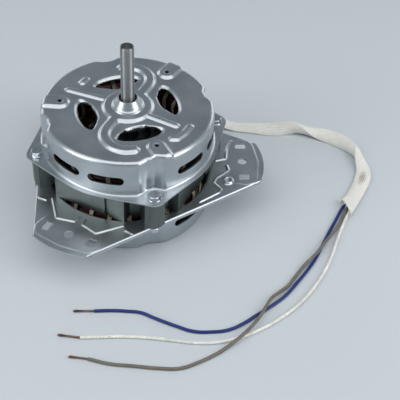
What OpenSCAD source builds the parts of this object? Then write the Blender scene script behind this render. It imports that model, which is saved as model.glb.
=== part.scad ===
// Washing machine motor: an induction motor in two pressed covers, with its shaft upright.
// Millimetres. The shaft axis is Z, and z = 0 is the top face of the mounting plate.

/* [Covers] */
// Thickness of the pressed sheet
sheet_t = 1.2; // [1:0.1:1.4]
// Outer radius of the upper cover's wall
upper_wall_r = 64; // [63:0.25:65]
// Depth of the upper cover, from the core to its flat top
upper_depth = 30.5; // [29:0.5:36]
// Outer radius of the lower cover's wall
lower_wall_r = 62.5; // [62:0.25:63.5]
// Depth of the lower cover, from the core to its flat bottom
lower_depth = 31; // [30:0.5:36]
// Outer radius of the fold between a cover's wall and its end
edge_fillet = 3.5; // [2.5:0.25:4.5]
// Radius of the fold between a cover's wall and its flange
base_fillet = 2.2; // [1.6:0.1:2.8]
// Height of the raised pattern on the upper cover
emboss_h = 2; // [1.5:0.25:3]
// Radius of the raised disc round the upper boss
disc_r = 18.5; // [17:0.5:20]
// Width of the upright flutes that clear the bolts
flute_w = 15; // [13:0.5:17]
// Distance from the axis to the floor of a flute
flute_floor_r = 60; // [59:0.25:61]

/* [Openings] */
// Outer radius of the windows in the upper cover
window_out_r = 37.3; // [35:0.5:40]
// Distance from the axis to the inner edge of a window
window_in_r = 24; // [23.5:0.25:25]
// Length of a window across its radius
window_len = 33; // [28:1:36]
// Length of a side slot
slot_len = 26.6; // [22:0.5:28]
// Height of a side slot
slot_h = 7; // [5:0.5:9]
// Angle from the middle of a side to the centre of each of its slots
slot_angle = 15; // [14.5:0.25:16]
// Height of the upper slots' centre line above the core
slot_rise = 14; // [12:0.5:16]
// Drop of the lower slots' centre line below the core
slot_drop = 14.5; // [12:0.5:16]

/* [Bolts] */
// Radius of the circle that the four bolts stand on
bolt_circle_r = 69.5; // [69:0.25:70.5]
// Angle of the first bolt from the right arm
bolt_angle = 14.75; // [14:0.25:15.5]
// Radius of the flange's lobes round the bolts
lobe_r = 8; // [6.5:0.25:9]
// Radius of the flange between the lobes
flange_r = 67.5; // [67:0.25:69]
// Thread diameter of the bolts
bolt_d = 5; // [4:0.1:5.5]
// Width of a bolt head or nut across flats
head_w = 8; // [7:0.1:8.5]
// Height of a bolt head
head_h = 2.8; // [1.8:0.1:3.5]
// Height of a nut
nut_h = 4; // [3:0.1:5]
// Diameter of a bolt washer
washer_d = 10; // [9:0.1:11]
// Thickness of a bolt washer
washer_t = 0.8; // [0.5:0.1:1.2]

/* [Mounting plate] */
// Diameter of the circle through the three arm holes
arm_hole_circle = 175.9; // [170:0.1:180]
// Diameter of an arm hole
arm_hole_d = 7.2; // [5:0.1:9]
// Distance from the axis to the plate's long edges
plate_edge_r = 69.5; // [69:0.25:71]
// Distance from the axis to the line through an arm's two corners
arm_corner_r = 100; // [97:0.5:104]
// Distance from the axis to the end of an arm
arm_end_r = 104.5; // [104:0.5:110]
// Length of a square-cornered arm hole along the arm
square_hole_len = 8; // [5:0.25:9]
// Width of a square-cornered arm hole
square_hole_w = 6; // [4:0.25:7]
// Distance of a square-cornered hole from the arm's middle
square_hole_side = 18.2; // [15:0.1:18.5]
// Height of the lip turned down along the long edges
lip_h = 3; // [2:0.25:5]
// Width of the beads pressed into the plate
bead_w = 2.4; // [1.6:0.1:2.6]
// Height of the beads pressed into the plate
bead_h = 0.8; // [0.4:0.1:1.2]

/* [Screw holes] */
// Diameter of the circle through the three pad holes of the upper cover
pad_circle = 100.5; // [99:0.25:102]
// Angle of the first pad from the right arm
pad_angle = 53.1; // [52:0.1:54]
// Width of a pad
pad_w = 14; // [12:0.5:16]
// Diameter of the tapped holes
tapped_d = 3.4; // [2.5:0.1:4.2]
// Diameter of the collar round the tapped hole of the plate
collar_d = 9; // [7:0.25:9.5]
// Height of that collar above the plate
collar_h = 1.6; // [1:0.1:3]

/* [Core] */
// Height of the lamination stack
stack_h = 25; // [20:0.5:40]
// Distance from the axis to the core's four flat sides
core_flat_r = 58; // [57.5:0.25:58.5]
// Length of a flat side
core_flat_len = 58; // [50:0.5:60]
// Width of the ears that the bolts pass
ear_w = 15; // [12:0.5:16]
// Metal of an ear outside the middle of its bolt
ear_edge = 4; // [3.5:0.25:4.75]
// Radius of the stator bore
bore_r = 30; // [28:0.25:30.5]
// Distance from the axis to the bottom of the slots
core_slot_r = 47; // [44:0.5:48]
// Width of the teeth between the slots
tooth_w = 3.5; // [3:0.1:4]
// Width of the slots' mouths at the bore
slot_mouth = 2.2; // [1.6:0.1:2.6]

/* [Winding] */
// Distance from the axis to the inner loops of an end winding
winding_in_r = 40; // [39:0.5:41]
// Space between the core and an end winding
winding_rise = 3; // [2.8:0.1:4]
// Thickness of the lacing round an end winding
tie_t = 1.2; // [0.8:0.1:1.4]
// Width of one lacing
tie_w = 2.5; // [1.5:0.1:4]

/* [Rotor] */
// Air gap between rotor and stator
air_gap = 0.4; // [0.3:0.05:0.6]
// Inner radius of the cage's end rings
ring_in_r = 17; // [15:0.5:20]
// Height of the cage's end rings
ring_h = 7; // [5:0.5:8]
// Height of the fan blades on the rings
blade_h = 6; // [3:0.5:6]
// Diameter of the cage bars
bar_d = 2.8; // [2:0.1:3.4]

/* [Shaft] */
// Diameter of the shaft
shaft_d = 10; // [9:0.1:11]
// Diameter of the shaft inside the rotor
shaft_core_d = 12.5; // [12:0.25:14]
// Length of the shaft above the upper boss
shaft_reach = 44.9; // [25:0.1:60]
// Chamfer at the shaft's ends
shaft_chamfer = 1; // [0.5:0.1:1.5]

/* [Bearings] */
// Radius of a boss at its base
boss_base_r = 12; // [11.5:0.25:13]
// Radius of a boss at its end
boss_top_r = 8.2; // [8:0.1:9]
// Height of a boss
boss_h = 7.1; // [6.5:0.1:8]
// Radius of the hole in a boss
boss_hole_r = 6.7; // [6.3:0.1:6.8]
// Length of a bearing bush
bush_len = 12; // [10:0.5:12.5]
// Radius of the hollow in the lower cover that the boss stands in
hollow_r = 30; // [28:0.5:31]
// Radius of a bearing retainer
retainer_r = 22.2; // [21:0.1:22.3]
// Thickness of a bearing retainer
retainer_t = 0.8; // [0.6:0.1:1]

/* [Leads] */
// Diameter of the leads
lead_d = 2.4; // [2:0.1:2.6]
// Diameter of the stripped copper at the leads' ends
copper_d = 1.6; // [1:0.1:1.8]
// Width of the flattened sleeve
sleeve_w = 12; // [9:0.5:13]
// Thickness of the flattened sleeve
sleeve_t = 3.8; // [3:0.1:4.2]

/* [Hidden] */
$fn = 64;

// Clearances: a seated piece, a running fit, a slip fit and an open gap between loops
seat_gap = 0.3;
run_gap = 0.03;
slip_gap = 0.05;
loop_gap = 0.5;
// How far a cut runs past the face that it opens
past = 1;
// Straight steps in a short arc, in the round end of a run and in an arc of a big outline
arc_steps = 6;
cap_steps = 10;
outline_steps = 12;

// Angles of the bolts, of the core's flat sides, of the pads and of the arms
bolt_step = 90;
bolt_angles = [for (i = [0:3]) bolt_angle + bolt_step * i];
side_angles = [for (a = bolt_angles) a + bolt_step / 2];
pad_angles = [for (i = [0:2]) pad_angle + 120 * i];
arm_angles = [0, 120, 240];

// Levels along the shaft
top_z = stack_h + upper_depth;
raised_z = top_z + emboss_h;
upper_boss_z = raised_z + boss_h;
floor_z = -lower_depth;
boss_stand = 1;
hollow_z = floor_z + boss_stand + boss_h;
hollow_flare = 3;
bolt_head_z = stack_h + sheet_t + washer_t;
bolt_end_z = -sheet_t - nut_h - bolt_d / 4;

// Flat start of a cover's flange, outside the fold
flange_root = 0.5;

// Bearing seats: the bush's sphere touches the inner cone of its boss
bush_sink = 1.8;
cone_fall = (boss_base_r - boss_top_r) / boss_h;
bush_r = (boss_base_r - sheet_t - cone_fall * (sheet_t - bush_sink)) / sqrt(1 + cone_fall ^ 2) - slip_gap;
upper_bush_z = raised_z - bush_sink;
lower_bush_z = hollow_z + bush_sink;
retainer_drop = 4.8;
retainer_hole_r = sqrt(bush_r ^ 2 - (retainer_drop - retainer_t) ^ 2) + slip_gap;
felt_side = 0.5;
felt_h = retainer_drop + bush_sink - retainer_t - sheet_t - felt_side;

// Rotor stack on the shaft
rotor_r = bore_r - air_gap;
bar_wall = 1.2;
bar_ring_r = rotor_r - bar_wall - bar_d / 2;
bar_count = 28;
blade_count = 10;
blade_t = 2;
blade_in_r = 20;
shoulder = 3;
shaft_r = shaft_d / 2;
shaft_top_z = upper_boss_z + shaft_reach;
shaft_end_z = floor_z + boss_stand + sheet_t;
thrust_washer_r = 9;
thrust_washer_t = 1.4;
thrust_count = 2;
thrust_stack = (thrust_washer_t + slip_gap) * thrust_count + seat_gap;
upper_thrust_z = upper_bush_z - bush_len / 2 - thrust_stack;
lower_thrust_z = lower_bush_z + bush_len / 2 + seat_gap;
spacer_r = 7.5;
groove_depth = 0.3;
groove_len = 1.4;

// End windings: loops piled in layers between the inner radius and the flutes, and clear of the flutes
winding_clear = 2.8;
winding_turns = 3;
winding_layers = 4;
loop_rings = 24;
loop_sides = 6;
winding_room = flute_floor_r - sheet_t - winding_clear - winding_in_r;
loop_pitch = (winding_room + loop_gap) / (winding_turns + 1);
loop_r = (loop_pitch - loop_gap) / 2;
winding_h = loop_pitch * (winding_layers - 1) + 2 * loop_r;
winding_count = winding_turns * winding_layers * loop_rings;
wound_route = [for (i = [0:winding_count]) wound_point(i / loop_rings)];
wound_gap = min([
    for (i = [0:winding_count - loop_rings / 2]) for (j = [i + loop_rings / 2:winding_count])
        norm(wound_route[j] - wound_route[i])
]) - 2 * loop_r;
tie_count = 24;

// Stator slots from the bore outwards: tooth tips, wedges, then wire
slot_count = 24;
slot_angles = [for (i = [0:slot_count - 1]) i * 360 / slot_count];
slot_inset = 0.4;
wire_out = 0.8;
tooth_tip = 1.5;
wedge_t = 1.3;
wedge_in_r = bore_r + tooth_tip + slot_inset;
wire_in_r = wedge_in_r + wedge_t + slot_inset;

// Core outline: the round part between flats and ears, the grooves in the flats, the ears' corners
recess_r = core_flat_r - 0.5;
groove_side = 14.5;
groove_w = 3.2;
groove_in = 1.5;
ear_end_r = bolt_circle_r + ear_edge;
ear_corner_r = 2.5;
ear_corner_t = 4;

// Plate pattern: beads as runs of points along and across an arm, right arm apart
arm_beads = [
    [[61.5, 30], [77.5, 16.5], [74.5, 3.5], [69.5, 2.5]],
    [[65.5, 39.5], [65, 33.5]]
];
right_beads = [
    [[81, 25], [77, 16], [75.3, 3.5], [67, 1.5]],
    [[75.5, -4.5], [76.5, -10], [66.3, -18.5], [64, -24], [69, -31.4], [67.3, -34.5], [52.3, -44.5]]
];
collar_place = [75, -21.6];
collar_top_d = 6.3;

// Raised pattern on the upper cover: half of it, the rest turned by half a turn
ridge_w = 7.5;
ridge = [[3.5, -48.8], [-4, -48.8], [-12.3, -44], [-16.8, -35.5], [-16, -26.5], [-10, -15]];
rib_w = 4.6;
rib_h = 0.7 * emboss_h;
right_rib = [[12, -9], [34.2, -22.6]];
left_rib = [[-12, 7], [-44, 21]];
right_dash = [[30.9, -37.2], [34.4, -37.2], [40.1, -31.3], [44.3, -24]];
left_dash = [[-33.9, 29.5], [-31.3, 33.5]];
pad_setback = 1.5;

// Window tabs that hold the upper retainer, and their copies in the lower cover
tab_w = 14.6;
tab_side = -1.3;
tab_t = sheet_t;
tab_foot = 1.4;
tab_notch = 1.2;
notch_len = 3;
window_round_r = 27.25;

// Lower cover's vents round the hollow
vent_count = 8;
vent_r = 45.5;
vent_len = 22;
vent_w = 8;

// Leads: routes of points, from the motor to the stripped ends
table_z = floor_z;
lie = table_z + lead_d / 2;
over = lie + lead_d + seat_gap;
flat = table_z + sleeve_t / 2;
sleeve_route = [
    [-3.6, 58.4, 9], [-3.1, 65, 9.2], [2, 72, 8.6], [14, 77, 6], [30, 79.5, 0], [47, 80.5, -9],
    [64, 80.5, -19], [80, 79.7, -26], [92, 78, flat], [103.5, 76, flat], [124.5, 72, flat],
    [145.5, 70, flat], [162, 66, flat], [177.5, 54.5, flat], [188, 40, flat], [191.6, 22, flat],
    [189.2, 10.5, flat], [183.6, -1.2, flat], [176.8, -13.2, flat], [169, -24.6, flat]
];
sleeve_neck = 7.4;
sleeve_neck_rings = 3;
mouth_gap = 0.2;
blue_route = [
    [166.8, -23.6, flat], [158.6, -38.2, lie], [151.4, -51, lie], [144.8, -63.6, lie], [139, -75, lie],
    [131.6, -86.4, lie], [121.3, -99.9, lie], [111, -112.3, lie], [99.5, -122, lie], [87.5, -130.5, lie],
    [78.5, -137, lie], [67.5, -142.5, lie], [54, -144, lie], [42.5, -143, lie], [31, -138, lie],
    [16.5, -130.5, lie], [6.5, -125, lie], [-2.5, -123.5, lie], [-13, -122.5, lie], [-26, -122.5, lie]
];
blue_tip = [-41, -122, lie];
white_route = [
    [172.3, -27.2, flat], [164.6, -41.6, lie], [157.2, -58.2, lie], [148.4, -79.2, lie], [137, -99.2, lie],
    [120.5, -120, lie], [104.5, -133.5, lie], [89.5, -143, lie], [74.5, -149.5, lie], [60.5, -153, lie],
    [46.5, -153.5, lie], [33, -151.5, lie], [19.5, -149, lie], [5.5, -147, lie], [-8, -146, lie],
    [-21.5, -146, lie], [-35.5, -146, lie]
];
white_tip = [-51, -143, lie];
grey_route = [
    [169.6, -25.5, flat], [163.4, -37.8, lie], [158.6, -46, lie + 0.8], [153.4, -54, lie + 2.2],
    [147.6, -61.6, over], [142, -69.6, over], [136.6, -76, over - 0.5], [129.6, -82.6, lie + 0.9],
    [120.6, -94, lie], [113.6, -103.6, lie + 0.4], [107, -109.8, lie + 1.2], [100.5, -116, over - 0.5],
    [95, -125, over],
    [89.5, -134, over - 0.3], [83, -142.5, over - 0.1], [77, -149, over + 0.1], [68, -156, lie + 1.2],
    [58.5, -162.5, lie], [43.5, -170.5, lie], [32, -174.5, lie], [18, -174, lie],
    [1, -171.5, lie], [-15.5, -169, lie], [-29.5, -164.5, lie]
];
grey_tip = [-43, -162, lie];
lead_sides = 8;
sleeve_sides = 12;
splice_r = 2;
splice_len = 22;
splice_ring_r = 47;
splice_angles = [for (i = [0:2]) side_angles[0] + 30 * (i - 1)];

// Points of an arc in a flat drawing
function arc(centre, r, from, to, steps = arc_steps) =
    [for (i = [0:steps]) let (a = from + (to - from) * i / steps) centre + r * [cos(a), sin(a)]];

// A direction of length one
function unit(v) = v / norm(v);

// Way that a route runs at one of its points
function heading(route, i) =
    unit(route[min(i + 1, len(route) - 1)] - route[max(i - 1, 0)]);

// Triangles of a closed tube with a number of rings and of sides
function tube_faces(rings, sides) = [
    for (i = [0:rings - 2]) for (j = [0:sides - 1])
        let (k = (j + 1) % sides, a = i * sides, b = a + sides)
        each [[a + j, b + j, b + k], [a + j, b + k, a + k]],
    for (j = [1:sides - 2]) [0, j, j + 1],
    for (j = [1:sides - 2]) let (a = (rings - 1) * sides) [a, a + j + 1, a + j]
];

// A tube of oval section swept along a route, with a width at each point
module tube(route, widths, thickness, sides) {
    points = [
        for (i = [0:len(route) - 1]) let (
            way = heading(route, i),
            across = unit(cross([0, 0, 1], way)),
            above = cross(way, across)
        ) for (j = [0:sides - 1]) let (a = 360 * (j + 0.5) / sides)
            route[i] + across * cos(a) * widths[i] / 2 + above * sin(a) * thickness / 2
    ];
    polyhedron(points, tube_faces(len(route), sides));
}

module round_tube(route, d) {
    tube(route, [for (p = route) d], d, lead_sides);
}

// A flat direction turned left by a quarter
function leftwards(v) = [-v.y, v.x];

// Corner of a run's outline beside one of its points, on the left for a side above zero
function run_corner(points, i, side) =
    let (
        before = leftwards(unit(points[i] - points[i - 1])),
        after = leftwards(unit(points[i + 1] - points[i])),
        middle = unit(before + after)
    ) points[i] + side * middle / (middle * before);

// A flat run of given width along a list of points, round at its ends, as one outline
module run(points, w) {
    last = len(points) - 1;
    start = points[0] - points[1];
    end = points[last] - points[last - 1];
    start_angle = atan2(start.y, start.x);
    end_angle = atan2(end.y, end.x);
    polygon(concat(
        [for (i = [1:1:last - 1]) run_corner(points, i, w / 2)],
        arc(points[last], w / 2, end_angle + 90, end_angle - 90, cap_steps),
        [for (i = [last - 1:-1:1]) run_corner(points, i, -w / 2)],
        arc(points[0], w / 2, start_angle + 90, start_angle - 90, cap_steps)
    ));
}

// A flat slot with round ends
module slot_outline(length, h) {
    run([[(h - length) / 2, 0], [(length - h) / 2, 0]], h);
}

// A ring standing on z = 0
module ring(out_r, in_r, h) {
    difference() {
        cylinder(r = out_r, h = h);
        translate([0, 0, -past]) cylinder(r = in_r, h = h + 2 * past);
    }
}

// Copies at a list of angles about the shaft
module around(angles) {
    for (a = angles) rotate(a) children();
}

// Outside of a pressed cover: core face on z = 0, end at z = depth
module cup_outside(wall_r, depth) {
    rotate_extrude() polygon(concat(
        [[0, 0], [wall_r + base_fillet + flange_root, 0], [wall_r + base_fillet + flange_root, sheet_t]],
        arc([wall_r + base_fillet, sheet_t + base_fillet], base_fillet, 270, 180),
        arc([wall_r - edge_fillet, depth - edge_fillet], edge_fillet, 0, 90),
        [[0, depth]]
    ));
}

// Inside of the same cover, one sheet thickness in
module cup_inside(wall_r, depth) {
    rotate_extrude() polygon(concat(
        [[0, -past], [wall_r + base_fillet, -past]],
        arc([wall_r + base_fillet, sheet_t + base_fillet], base_fillet + sheet_t, 270, 180),
        arc([wall_r - edge_fillet, depth - edge_fillet], edge_fillet - sheet_t, 0, 90),
        [[0, depth - sheet_t]]
    ));
}

// Upright flutes at the bolts, grown by an inset and cut from a level upwards
module flutes(inset, from, h) {
    around(bolt_angles) translate([0, 0, from]) linear_extrude(h - from)
        run([[flute_floor_r + flute_w / 2, 0], [2 * upper_wall_r, 0]], flute_w + 2 * inset);
}

// Outline of the upper cover's raised pattern, drawn in by an inset
module raised_outline(inset) {
    circle(r = disc_r - inset);
    for (turn = [0, 180]) rotate(turn) run(ridge, ridge_w - 2 * inset);
    intersection() {
        circle(r = upper_wall_r - pad_setback - inset);
        around(pad_angles) run([[pad_circle / 2, 0], [2 * upper_wall_r, 0]], pad_w - 2 * inset);
    }
}

// Outline of the narrow ribs and dashes, which are lower than the rest of the pattern
module rib_outline(inset) {
    w = rib_w - 2 * inset;
    for (rib = [right_rib, left_rib, right_dash, left_dash]) run(rib, w);
}

module raised_pattern(inset) {
    translate([0, 0, upper_depth - edge_fillet]) {
        linear_extrude(edge_fillet + emboss_h - inset) raised_outline(inset);
        linear_extrude(edge_fillet + rib_h - inset) rib_outline(inset);
    }
}

// Drawn boss round the shaft, its base on a sheet whose outer face is at z = base
module boss(base) {
    rotate_extrude() polygon([
        [boss_hole_r, base + boss_h], [boss_top_r, base + boss_h], [boss_base_r, base],
        [boss_base_r, base - sheet_t], [boss_base_r - sheet_t, base - sheet_t],
        [boss_top_r - sheet_t, base + boss_h - sheet_t], [boss_hole_r, base + boss_h - sheet_t]
    ]);
}

module boss_opening(base) {
    translate([0, 0, base - sheet_t - past]) cylinder(r = boss_base_r - sheet_t, h = sheet_t + 2 * past);
}

// Bent tab under an end face at z = face, its foot under the retainer of a boss based at z = base
module tabs(face, base) {
    foot_z = base - bush_sink - retainer_drop - seat_gap - sheet_t;
    around(bolt_angles) {
        translate([window_in_r - tab_t, tab_side - tab_w / 2, foot_z])
            cube([tab_t, tab_w, face - foot_z]);
        translate([window_in_r - tab_t - tab_foot, tab_side - tab_w / 2, foot_z])
            cube([tab_foot + tab_t, tab_w, sheet_t]);
    }
}

// Lens-shaped window with a notch at each end of its tab
module window_outline() {
    intersection() {
        circle(r = window_out_r);
        translate([window_in_r + window_round_r, 0]) circle(r = window_round_r);
        translate([0, -window_len / 2]) square([window_out_r + past, window_len]);
    }
    for (s = [-1, 1])
        translate([window_in_r - sheet_t - past / 2, tab_side + s * (tab_w + tab_notch) / 2 - tab_notch / 2])
            square([notch_len, tab_notch]);
}

// Two slots through the wall on each side of a cover, at a height
module side_slots(wall_r, z) {
    around(side_angles) around([-slot_angle, slot_angle])
        translate([wall_r * cos(slot_angle), 0, z]) rotate([90, 0, 90])
            linear_extrude(wall_r / 4, center = true) slot_outline(slot_len, slot_h);
}

module bolt_holes(from, h) {
    around(bolt_angles) translate([bolt_circle_r, 0, from]) cylinder(d = bolt_d + 2 * slip_gap, h = h);
}

// Flange with tangent lobes round the bolts
module flange_outline() {
    spread = acos((flange_r - lobe_r) / bolt_circle_r);
    polygon([
        for (a = bolt_angles) each concat(
            arc(bolt_circle_r * [cos(a), sin(a)], lobe_r, a - spread, a + spread, outline_steps),
            arc([0, 0], flange_r, a + spread, a + bolt_step - spread, outline_steps)
        )
    ]);
}

module upper_cover() {
    color("#b9c2c8") translate([0, 0, stack_h]) {
        difference() {
            union() {
                difference() {
                    union() {
                        cup_outside(upper_wall_r, upper_depth);
                        raised_pattern(0);
                        linear_extrude(sheet_t) flange_outline();
                    }
                    flutes(0, sheet_t, upper_depth + emboss_h + past);
                    difference() {
                        union() {
                            cup_inside(upper_wall_r, upper_depth);
                            raised_pattern(sheet_t);
                        }
                        flutes(sheet_t, -2 * past, upper_depth + emboss_h);
                    }
                    boss_opening(upper_depth + emboss_h);
                }
                boss(upper_depth + emboss_h);
            }
            around(bolt_angles) translate([0, 0, upper_depth - edge_fillet])
                linear_extrude(edge_fillet + emboss_h + past) window_outline();
            side_slots(upper_wall_r, slot_rise);
            bolt_holes(-past, sheet_t + 2 * past);
            around(pad_angles) translate([pad_circle / 2, 0, upper_depth])
                cylinder(d = tapped_d, h = emboss_h + past);
        }
        tabs(upper_depth, upper_depth + emboss_h);
    }
}

// Outline of the three-armed mounting plate
module plate_outline() {
    corner_side = (plate_edge_r - arm_corner_r * cos(60)) / sin(60);
    crown = arm_end_r - arm_corner_r;
    end_r = (corner_side ^ 2 + crown ^ 2) / (2 * crown);
    swing = asin(corner_side / end_r);
    polygon([
        for (a = arm_angles) each [
            for (p = arc([arm_end_r - end_r, 0], end_r, -swing, swing, outline_steps))
                [p.x * cos(a) - p.y * sin(a), p.x * sin(a) + p.y * cos(a)]
        ]
    ]);
}

// Lip turned down along the plate's long edges
module lips() {
    edge_half = (arm_corner_r - plate_edge_r * cos(60)) / sin(60);
    around(arm_angles) rotate(60) translate([plate_edge_r - sheet_t, -edge_half, 0])
        cube([sheet_t, 2 * edge_half, lip_h]);
}

module plate_beads() {
    around([arm_angles[1], arm_angles[2]]) for (bead = arm_beads) {
        run(bead, bead_w);
        mirror([0, 1]) run(bead, bead_w);
    }
    for (bead = right_beads) run(bead, bead_w);
}

module plate_holes() {
    around(arm_angles) translate([arm_hole_circle / 2, 0]) {
        circle(d = arm_hole_d);
        for (s = [-1, 1]) translate([0, s * square_hole_side])
            square([square_hole_len, square_hole_w], center = true);
    }
}

module hollow(inset) {
    rise = lower_depth + hollow_z;
    inner_r = hollow_r - rise / hollow_flare;
    translate([0, 0, lower_depth - rise - inset])
        cylinder(r1 = inner_r + inset, r2 = hollow_r + inset, h = rise + inset + slip_gap);
}

// Lower cover with its depth along +Z, turned over by lower_cover()
module lower_pressing() {
    difference() {
        union() {
            difference() {
                union() {
                    cup_outside(lower_wall_r, lower_depth);
                    linear_extrude(sheet_t) plate_outline();
                    lips();
                }
                flutes(0, sheet_t, lower_depth + past);
                hollow(0);
                difference() {
                    cup_inside(lower_wall_r, lower_depth);
                    flutes(sheet_t, -2 * past, lower_depth);
                    hollow(sheet_t);
                }
                boss_opening(-hollow_z);
            }
            boss(-hollow_z);
            translate([0, 0, -bead_h]) linear_extrude(bead_h + sheet_t / 2) plate_beads();
            translate([collar_place.x, collar_place.y, -collar_h])
                cylinder(d1 = collar_top_d, d2 = collar_d, h = collar_h + sheet_t / 2);
        }
        translate([0, 0, -past]) linear_extrude(sheet_t + 2 * past) plate_holes();
        translate([collar_place.x, collar_place.y, -collar_h - past])
            cylinder(d = tapped_d, h = collar_h + sheet_t + 2 * past);
        around([for (i = [0:vent_count - 1]) side_angles[0] + (i + 0.5) * 360 / vent_count])
            translate([vent_r, 0, lower_depth - sheet_t - past]) linear_extrude(sheet_t + 2 * past)
                rotate(90) slot_outline(vent_len, vent_w);
        side_slots(lower_wall_r, slot_drop);
        bolt_holes(-past, sheet_t + 2 * past);
    }
    tabs(-hollow_z - sheet_t / 2, -hollow_z);
}

module lower_cover() {
    color("#aeb8be") mirror([0, 0, 1]) lower_pressing();
}

// Trapezoid of a stator slot between two radii, drawn in by an inset
module slot_section(from, to, inset) {
    half_at = function (r) r * sin(180 / slot_count) - tooth_w / 2 - inset;
    polygon([[from, -half_at(from)], [to, -half_at(to)], [to, half_at(to)], [from, half_at(from)]]);
}

module ear_outline() {
    half = ear_w / 2;
    polygon([
        [core_flat_r - ear_w, -half], [ear_end_r - ear_corner_r, -half], [ear_end_r, ear_corner_t - half],
        [ear_end_r, half - ear_corner_t], [ear_end_r - ear_corner_r, half], [core_flat_r - ear_w, half]
    ]);
}

module core_outline() {
    difference() {
        union() {
            circle(r = recess_r);
            around(side_angles) translate([0, -core_flat_len / 2]) square([core_flat_r, core_flat_len]);
            around(bolt_angles) ear_outline();
        }
        circle(r = bore_r);
        around(slot_angles) {
            slot_section(bore_r + tooth_tip, core_slot_r, 0);
            translate([bore_r - past, -slot_mouth / 2]) square([tooth_tip + 2 * past, slot_mouth]);
        }
        around(side_angles) translate([core_flat_r - groove_in, groove_side - groove_w / 2])
            square([groove_in + past, groove_w]);
    }
}

module stator_core() {
    color("#8d8f8c") difference() {
        linear_extrude(stack_h) core_outline();
        bolt_holes(-past, stack_h + 2 * past);
    }
}

// Bundles of wire in the slots, standing out a little at both ends
module slot_windings() {
    color("#6b2b22") around(slot_angles)
        translate([0, 0, -wire_out]) linear_extrude(stack_h + 2 * wire_out)
            slot_section(wire_in_r, core_slot_r - slot_inset, slot_inset);
}

module slot_wedges() {
    color("#d8cfae") around(slot_angles)
        translate([0, 0, -wire_out]) linear_extrude(stack_h + 2 * wire_out)
            slot_section(wedge_in_r, wedge_in_r + wedge_t, slot_inset / 2);
}

// Centre of the wound tube after a number of turns: out and in again, up a layer at each reversal
function wound_point(turns) =
    let (
        swing = turns % (2 * winding_turns),
        place = swing < winding_turns ? swing : 2 * winding_turns - swing,
        climb = [for (k = [1:winding_layers - 1]) max(0, min(1, (turns - k * winding_turns) * 2 + 0.5))],
        level = [for (c = climb) 1] * climb,
        r = winding_in_r + loop_r + loop_pitch * place
    ) [r * cos(360 * turns), r * sin(360 * turns), loop_r + loop_pitch * level];

// One end winding, standing on z = 0
module end_winding() {
    points = [
        for (i = [0:winding_count]) let (turn = 360 * i / loop_rings, radial = [cos(turn), sin(turn), 0])
            for (j = [0:loop_sides - 1]) let (a = 360 * j / loop_sides)
                wound_route[i] + loop_r * (cos(a) * [0, 0, 1] + sin(a) * radial)
    ];
    polyhedron(points, tube_faces(winding_count + 1, loop_sides));
}

module upper_winding() {
    color("#5a2420") translate([0, 0, stack_h + winding_rise]) end_winding();
}

module lower_winding() {
    color("#5a2420") translate([0, 0, -winding_rise]) mirror([0, 0, 1]) end_winding();
}

// Lacing round an end winding that stands on z = 0
module lacing() {
    out_r = winding_in_r + loop_r + loop_pitch * winding_turns + loop_r + seat_gap;
    in_r = winding_in_r - seat_gap;
    around([for (i = [0:tie_count - 1]) side_angles[0] + i * 360 / tie_count]) difference() {
        translate([in_r - tie_t, -tie_w / 2, -seat_gap - tie_t])
            cube([out_r - in_r + 2 * tie_t, tie_w, winding_h + 2 * (seat_gap + tie_t)]);
        translate([in_r, -tie_w, -seat_gap]) cube([out_r - in_r, 2 * tie_w, winding_h + 2 * seat_gap]);
    }
}

module upper_ties() {
    color("#e6dcc0") translate([0, 0, stack_h + winding_rise]) lacing();
}

module lower_ties() {
    color("#e6dcc0") translate([0, 0, -winding_rise]) mirror([0, 0, 1]) lacing();
}

module lead_splices() {
    splice_z = -winding_rise - winding_h - tie_t - 2 * seat_gap - splice_r;
    color("#efe9da") around(splice_angles) translate([splice_ring_r, splice_len / 2, splice_z])
        rotate([90, 0, 0]) cylinder(r = splice_r, h = splice_len);
}

module clamp_bolts() {
    color("#c9cdd0") around(bolt_angles) translate([bolt_circle_r, 0, 0]) {
        translate([0, 0, bolt_end_z]) cylinder(d = bolt_d, h = bolt_head_z - bolt_end_z);
        translate([0, 0, bolt_head_z]) cylinder(d = head_w / cos(30), h = head_h, $fn = 6);
    }
}

module bolt_washers() {
    color("#d2d6d8") around(bolt_angles) translate([bolt_circle_r, 0, stack_h + sheet_t])
        ring(washer_d / 2, bolt_d / 2 + slip_gap, washer_t);
}

module bolt_nuts() {
    color("#c4c8ca") around(bolt_angles) translate([bolt_circle_r, 0, -sheet_t - nut_h]) difference() {
        cylinder(d = head_w / cos(30), h = nut_h, $fn = 6);
        translate([0, 0, -past]) cylinder(d = bolt_d + 2 * slip_gap, h = nut_h + 2 * past);
    }
}

// Spherical sintered bush on the origin
module bush() {
    difference() {
        intersection() {
            sphere(r = bush_r);
            cylinder(r = bush_r + past, h = bush_len, center = true);
        }
        cylinder(r = shaft_r + run_gap, h = bush_len + 2 * past, center = true);
    }
}

module upper_bearing() {
    color("#b08a4a") translate([0, 0, upper_bush_z]) bush();
}

module lower_bearing() {
    color("#b08a4a") translate([0, 0, lower_bush_z]) bush();
}

// Oil felt that stands on the retainer, at z = 0, and fills the room round the bush
module felt() {
    ring(disc_r - sheet_t - felt_side, bush_r + felt_side, felt_h);
}

module upper_felt() {
    color("#d9d2bf") translate([0, 0, upper_bush_z - retainer_drop + retainer_t]) felt();
}

module lower_felt() {
    color("#d9d2bf") translate([0, 0, lower_bush_z + retainer_drop - retainer_t]) mirror([0, 0, 1]) felt();
}

// Spring plate with slits round its hole, underside on z = 0
module retainer() {
    slit_count = 6;
    slit_w = 1.2;
    slit_len = 4;
    difference() {
        ring(retainer_r, retainer_hole_r, retainer_t);
        around([for (i = [0:slit_count - 1]) i * 360 / slit_count])
            translate([retainer_hole_r - past, -slit_w / 2, -past])
                cube([slit_len + past, slit_w, retainer_t + 2 * past]);
    }
}

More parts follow.
